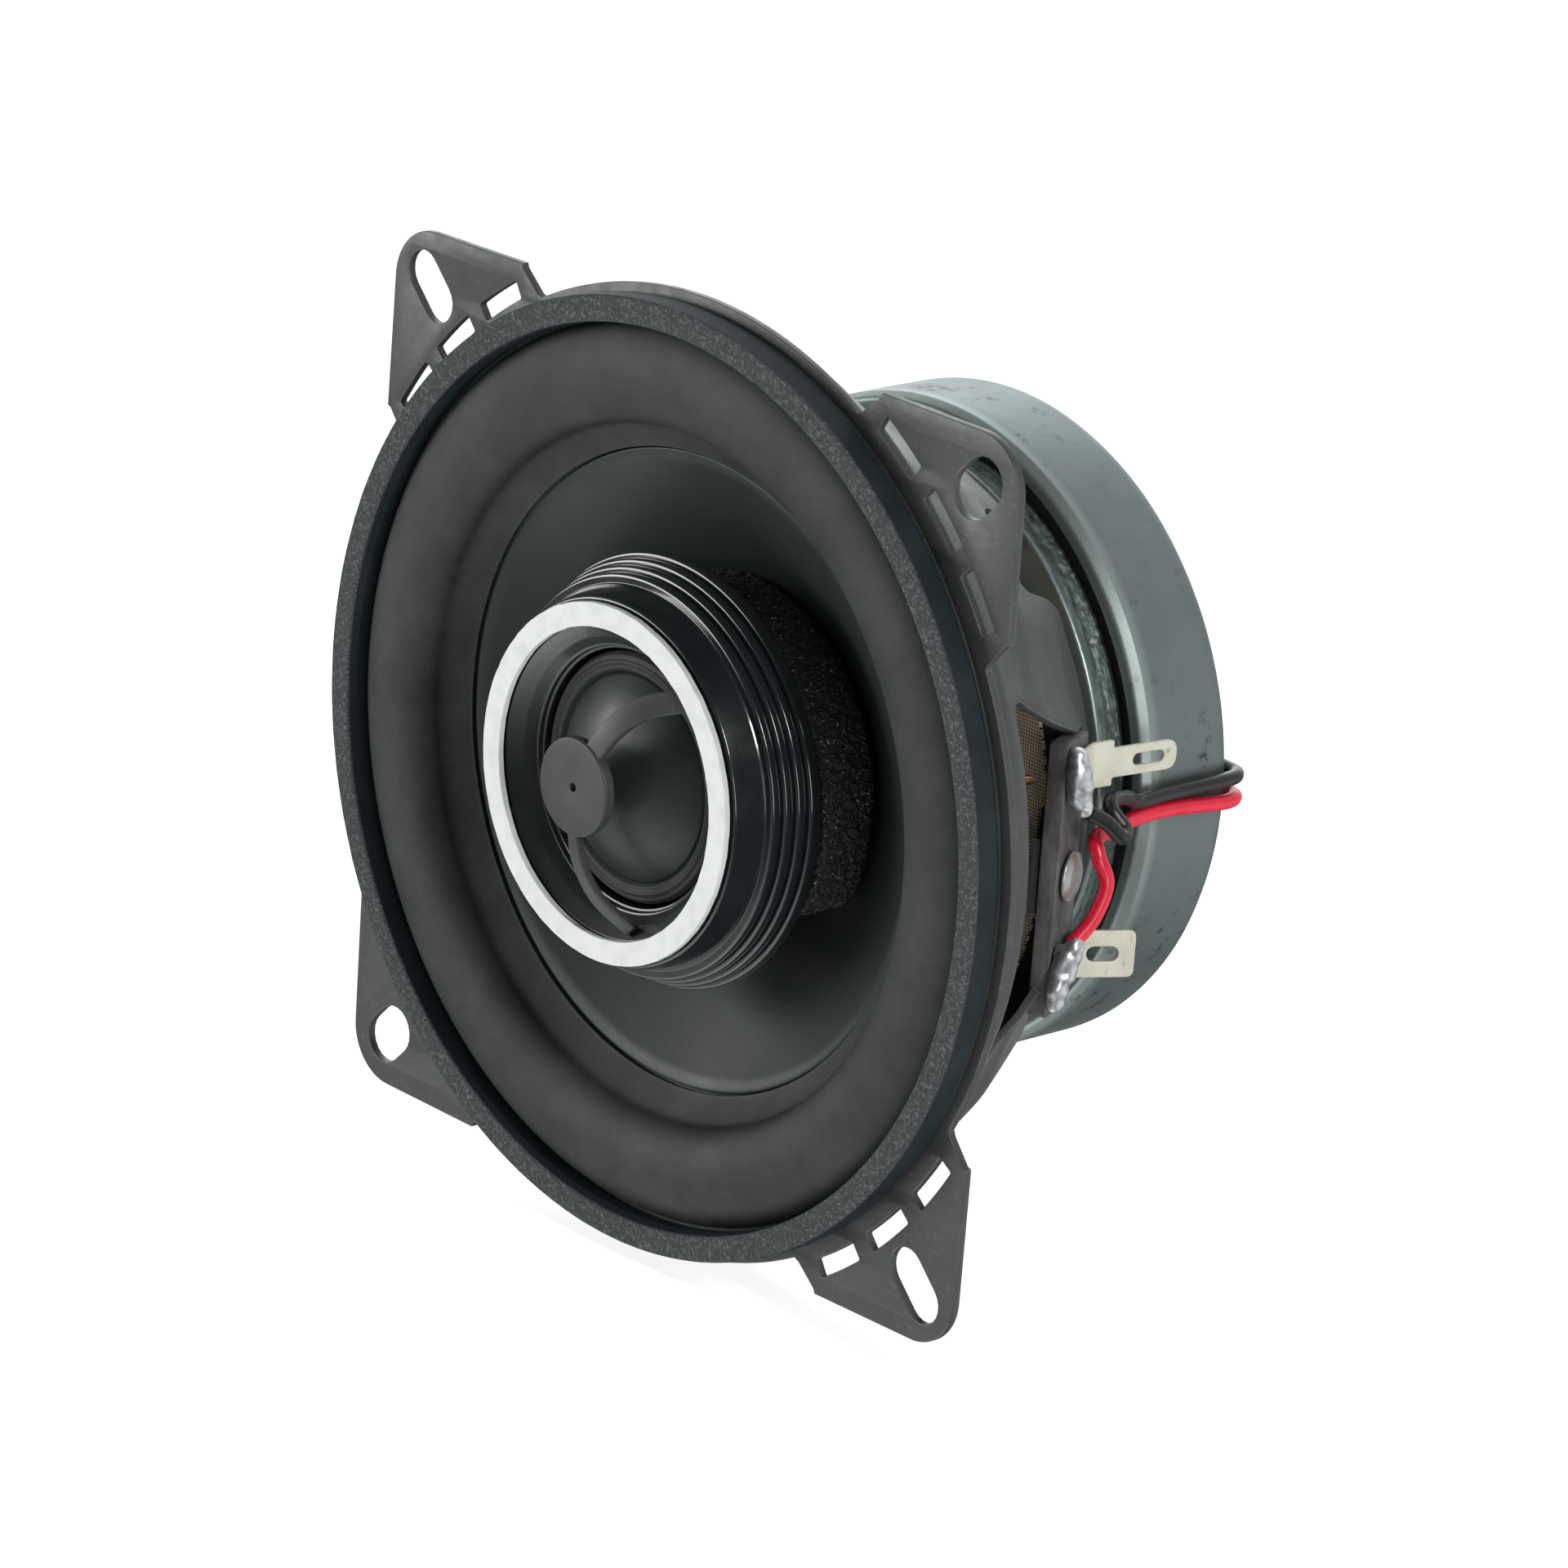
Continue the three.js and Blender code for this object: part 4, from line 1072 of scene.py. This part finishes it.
def lug(node, name):
    """A tinned tab cut flat, then bent up from its foot on the strip."""
    spec = LUGS[node]
    w, s, length, shoulder = spec["width"] / 2, spec["root"] / 2, spec["length"], spec["shoulder"]
    foot = -2.6
    outline = [(foot, -s, 0.3), (shoulder, -s, 0.25), (shoulder, -w, 0.2), (length, -w, spec["round"]),
               (length, w, spec["round"]), (shoulder, w, 0.2), (shoulder, s, 0.25), (foot, s, 0.3)]
    bm = flat_part(rounded(outline, 5), [slot_hole(*spec["slot"])], LUG_T, 0.1)
    radius, angle = 0.7, STRIP_LEAN + math.radians(spec["lean"])
    for k in range(9):
        cut = (radius * angle * k / 8) * MM
        geom = bm.verts[:] + bm.edges[:] + bm.faces[:]
        bmesh.ops.bisect_plane(bm, geom=geom, plane_co=(cut, 0, 0), plane_no=(1, 0, 0), dist=1e-8)
    drop = math.tan(math.radians(spec["drop"]))
    for v in bm.verts:
        x, z, out = v.co / MM
        turn = min(max(x / radius, 0), angle)
        run = min(x, 0) + radius * math.sin(turn) + max(0, x - radius * angle) * math.cos(angle)
        rise = radius * (1 - math.cos(turn)) + max(0, x - radius * angle) * math.sin(angle)
        along = run - out * math.sin(turn)
        up = rise + out * math.cos(turn)
        height = spec["z"] + z - drop * max(x, 0)
        v.co = Vector((GAP + LUG_T / 2 + up, STRIP["width"] / 2 - 0.1 + along, height)) * MM
    bm.transform(ON_STRIP)
    stand_for(finish_mesh(bm, name, "tinned_brass"), node)


PUDDLE_SMALL = [(0.9, -2.3, 13.2, 1.0), (1.0, -2.3, 11.9, 1.4), (1.1, -1.8, 10.4, 1.5),
                (1.2, -1.7, 8.9, 1.2), (1.7, -1.3, 7.6, 0.9)]
PUDDLE_LARGE = [(2.2, -2.2, -6.3, 0.9), (1.5, -2.1, -7.7, 1.5), (1.0, -2.2, -9.4, 1.5),
                (0.9, -2.8, -11.0, 1.2), (0.8, -3.0, -12.4, 0.9)]


def solder_joint(node, name, balls, seed):
    """A frozen puddle: balls of (out, rear, up, radius) melted into one lump."""
    meta = bpy.data.metaballs.new("puddle")
    meta.resolution = 0.22
    meta.threshold = 0.35
    for x, y, z, r in balls:
        element = meta.elements.new()
        element.co = (x, y, z)
        element.radius = r * 1.5
    bm = made_real(linked("puddle", meta))
    bpy.data.metaballs.remove(meta)
    for v in bm.verts:
        v.co += v.normal * 0.22 * lumps(v.co + Vector((seed, 0, 0)), 0.55, 2)
        v.co.x = max(v.co.x, GAP * 0.5)
    bm.transform(ON_STRIP @ Matrix.Scale(MM, 4))
    stand_for(finish_mesh(bm, name, "solder", sharp=80), node)


# ---------------- leads
WIRE_D = 1.6
CAN_SIDE = 34.9 + GAP + WIRE_D / 2
CAN_BACK = 44.6 + GAP + WIRE_D / 2
POST_REAR = 45.8
LEAD_RED = [(41.2, 17.3, -8.7), (41.5, 19.8, -6.2), (41.2, 21.5, -3), (40.4, 20.9, -0.4),
            (39.2, 21.6, 1.2), (38, 25.5, 1.1)]
LEAD_BLACK = [(41, 18.5, 4.9), (41.8, 20.2, 3.8), (42.4, 21.8, 2.2), (41.6, 23, 2.6),
              (40.2, 22.4, 4.2), (39, 23.6, 4.8), (37.6, 27, 4)]


def lead_route(start, z, drop, side):
    low = z - drop
    over_the_can = [(CAN_SIDE + 0.3, 30, z), (CAN_SIDE, 34.5, z), (CAN_SIDE, 39, z - drop / 2),
                    (CAN_SIDE, 43.1, low), (CAN_SIDE - 0.6, 45, low), (CAN_SIDE - 2.2, CAN_BACK, low),
                    (28, CAN_BACK, low),
                    (18, CAN_BACK, side * 1.4 + 0.5), (9.5, CAN_BACK + 0.6, side * 1.2),
                    (4.5, POST_REAR + 1.3, side * 1.15), (1.1, POST_REAR + 1.1, side * 1.05),
                    *[(0, y, side * 1.05) for y in (POST_REAR - 2, 36, 22, 8.8)]]
    return [*start, *over_the_can]


def lead(node, name, route, material):
    path = smooth_line(lead_route(*route), 8)
    obj = finish_mesh(swept(path, circle(WIRE_D / 2, 20)), name, material, sharp=60)
    stand_for(obj, node)


def tinsel(node, name, z):
    """Strands laid round each other, slack between the board and the cone's neck."""
    slack = [(36.2, 14.8, z), (33.5, 12.8, z), (28, 12, z * 0.8), (21, 13, z * 0.55), (15, 15.3, z * 0.3)]
    line = smooth_line(slack, 20)
    strands, lay, core, strand = 5, 3.2, 0.3, 0.2
    spots = [0.0]
    for a, b in zip(line, line[1:]):
        spots.append(spots[-1] + (b - a).length)
    bundle = bmesh.new()
    for s in range(strands):
        turns = [math.tau * (gone / lay + s / strands) for gone in spots]
        path = [at + Vector((0, math.cos(a), math.sin(a))) * core for at, a in zip(line, turns)]
        part = finish_mesh(swept(path, circle(strand, 8)), "strand", "tinsel")
        bundle.from_mesh(part.data)
        bpy.data.objects.remove(part)
    obj = finish_mesh(bundle, name, "tinsel", sharp=60)
    stretch_between(obj, node, lambda p: 1 - ramp(math.hypot(p.x, p.z), 16, 35))


def post():
    outline = rounded([(2.7, 8.8, 0.1), (4, 8.8, 0.3), (4, 45.8, 0.3), (2.7, 45.8, 0.2)])
    turned_part("tweeter_post", "hollow_post", "zinc_plate", outline, FINE)
    hexagon = rounded([(*p, 0.5) for p in circle(6.4, 6)], 3)
    bm = stood_up(flat_part(hexagon, [circle(4.3, 48)], 2, 0.25), 44.8)
    stand_for(finish_mesh(bm, "hex_nut", "rivet_steel"), "post_nut")


def carried_over():
    """CAD nodes whose own shape is kept: each takes its finish."""
    for name, node in frame["nodes"].items():
        if node.hide_render:
            continue
        slot = SLOT_OF[name]
        node.data.materials.clear()
        node.data.materials.append(MATERIALS[slot])
        node.data.polygons.foreach_set("use_smooth", [True] * len(node.data.polygons))
        node.data.set_sharp_from_angle(angle=math.radians(35))


# ---------------- stage
def camera():
    data = bpy.data.cameras.new("camera")
    data.lens, data.sensor_width = 172.7, 36
    data.clip_start, data.clip_end = 0.05, 20
    obj = linked("camera", data)
    right, up, back = (0.66715, 0.74175, 0.06868), (-0.28003, 0.16429, 0.94583), (0.69028, -0.65024, 0.31732)
    turn = Matrix((right, up, back)).transposed().to_4x4()
    obj.matrix_world = Matrix.Translation((0.53356, -0.48724, 0.24160)) @ turn
    bpy.context.scene.camera = obj


def softbox(name, place, size, power):
    data = bpy.data.lights.new(name, "AREA")
    data.shape = "RECTANGLE"
    data.size, data.size_y = size
    data.energy = power
    obj = linked(name, data)
    obj.location = place
    aim = Vector((0, 0.02, 0)) - Vector(place)
    obj.rotation_euler = aim.to_track_quat("-Z", "Y").to_euler()


def floor():
    size, low = 6.0, cad_box[0].z - 0.0006
    mesh = bpy.data.meshes.new("floor")
    corners = [(-size, -size, low), (size, -size, low), (size, size, low), (-size, size, low)]
    mesh.from_pydata(corners, [], [(0, 1, 2, 3)])
    material = Finish("pale_floor", Specular_IOR_Level=0.1)
    material.colour(material.mix(material.noise(3), (0.50, 0.50, 0.50), (0.52, 0.52, 0.52)))
    material.rough(0.9)
    material.shader.inputs["Emission Color"].default_value = (1, 1, 1, 1)
    material.shader.inputs["Emission Strength"].default_value = 0.8
    mesh.materials.append(material.material)
    obj = linked("floor", mesh)
    obj.visible_glossy = False


DIM = 0.06       # the surround's light where it doesn't glow
GLOW = (         # where the light of the surround comes from: direction, narrowness, strength
    ((-0.69, 0.65, 0.32), 5, 2.8), ((0.32, 0.65, 0.69), 5, 0.6), ((0.69, 0.65, -0.32), 6, 1.0),
    ((-0.17, -0.53, -0.83), 5, 2.2),
)


def studio():
    """A white surround to the eye; as a light it glows from a few sides and is dim elsewhere."""
    world = bpy.data.worlds.new("studio")
    bpy.context.scene.world = world
    world.use_nodes = True
    tree = world.node_tree
    tree.nodes.clear()
    new, link = tree.nodes.new, tree.links.new

    def work_out(operation, value, number):
        node = new("ShaderNodeMath")
        node.operation = operation
        link(value, node.inputs[0])
        if isinstance(number, bpy.types.NodeSocket):
            link(number, node.inputs[1])
        else:
            node.inputs[1].default_value = number
        return node.outputs[0]

    place = new("ShaderNodeTexCoord").outputs["Generated"]
    dim = new("ShaderNodeValue")
    dim.outputs[0].default_value = DIM
    total = dim.outputs[0]
    for direction, narrow, strength in GLOW:
        toward = new("ShaderNodeVectorMath")
        toward.operation = "DOT_PRODUCT"
        toward.inputs[1].default_value = Vector(direction).normalized()
        link(place, toward.inputs[0])
        lobe = work_out("POWER", work_out("MAXIMUM", toward.outputs["Value"], 0.0), narrow)
        total = work_out("ADD", total, work_out("MULTIPLY", lobe, strength))
    light, white, pick = new("ShaderNodeBackground"), new("ShaderNodeBackground"), new("ShaderNodeMixShader")
    light.inputs["Color"].default_value = (0.96, 1.0, 1.0, 1)
    path, out = new("ShaderNodeLightPath"), new("ShaderNodeOutputWorld")
    link(total, light.inputs["Strength"])
    link(path.outputs["Is Camera Ray"], pick.inputs["Fac"])
    link(light.outputs[0], pick.inputs[1])
    link(white.outputs[0], pick.inputs[2])
    link(pick.outputs[0], out.inputs["Surface"])
    white.inputs["Color"].default_value = (1, 1, 1, 1)
    bpy.context.scene.view_settings.view_transform = "Standard"


camera()
studio()
floor()
softbox("key_left", (-0.95, -0.95, 0.14), (0.9, 0.6), 16)
softbox("thin_strip", (0.84, -0.11, 0.54), (0.06, 0.24), 4)
softbox("right_fill", (1.0, -0.35, 0.05), (0.4, 0.4), 3)

for build in (basket, surround, gasket, cone, spider, voice_coil, top_plate, magnet, yoke, can, housing,
              trim_ring, dome, phase_plug, tweeter_base, foam_ring, strip, strip_rivet, post):
    build()
lug("lug_small", "narrow_tab")
lug("lug_large", "wide_tab")
solder_joint("solder_small", "joint_narrow", PUDDLE_SMALL, 3)
solder_joint("solder_large", "joint_wide", PUDDLE_LARGE, 8)
lead("lead_red", "red_lead", (LEAD_RED, 0.95, 0.7, -1), "red_pvc")
lead("lead_black", "black_lead", (LEAD_BLACK, 2.65, 0, 1), "black_pvc")
tinsel("tinsel_lead_upper", "braid_upper", 7.5)
tinsel("tinsel_lead_lower", "braid_lower", -12)
carried_over()
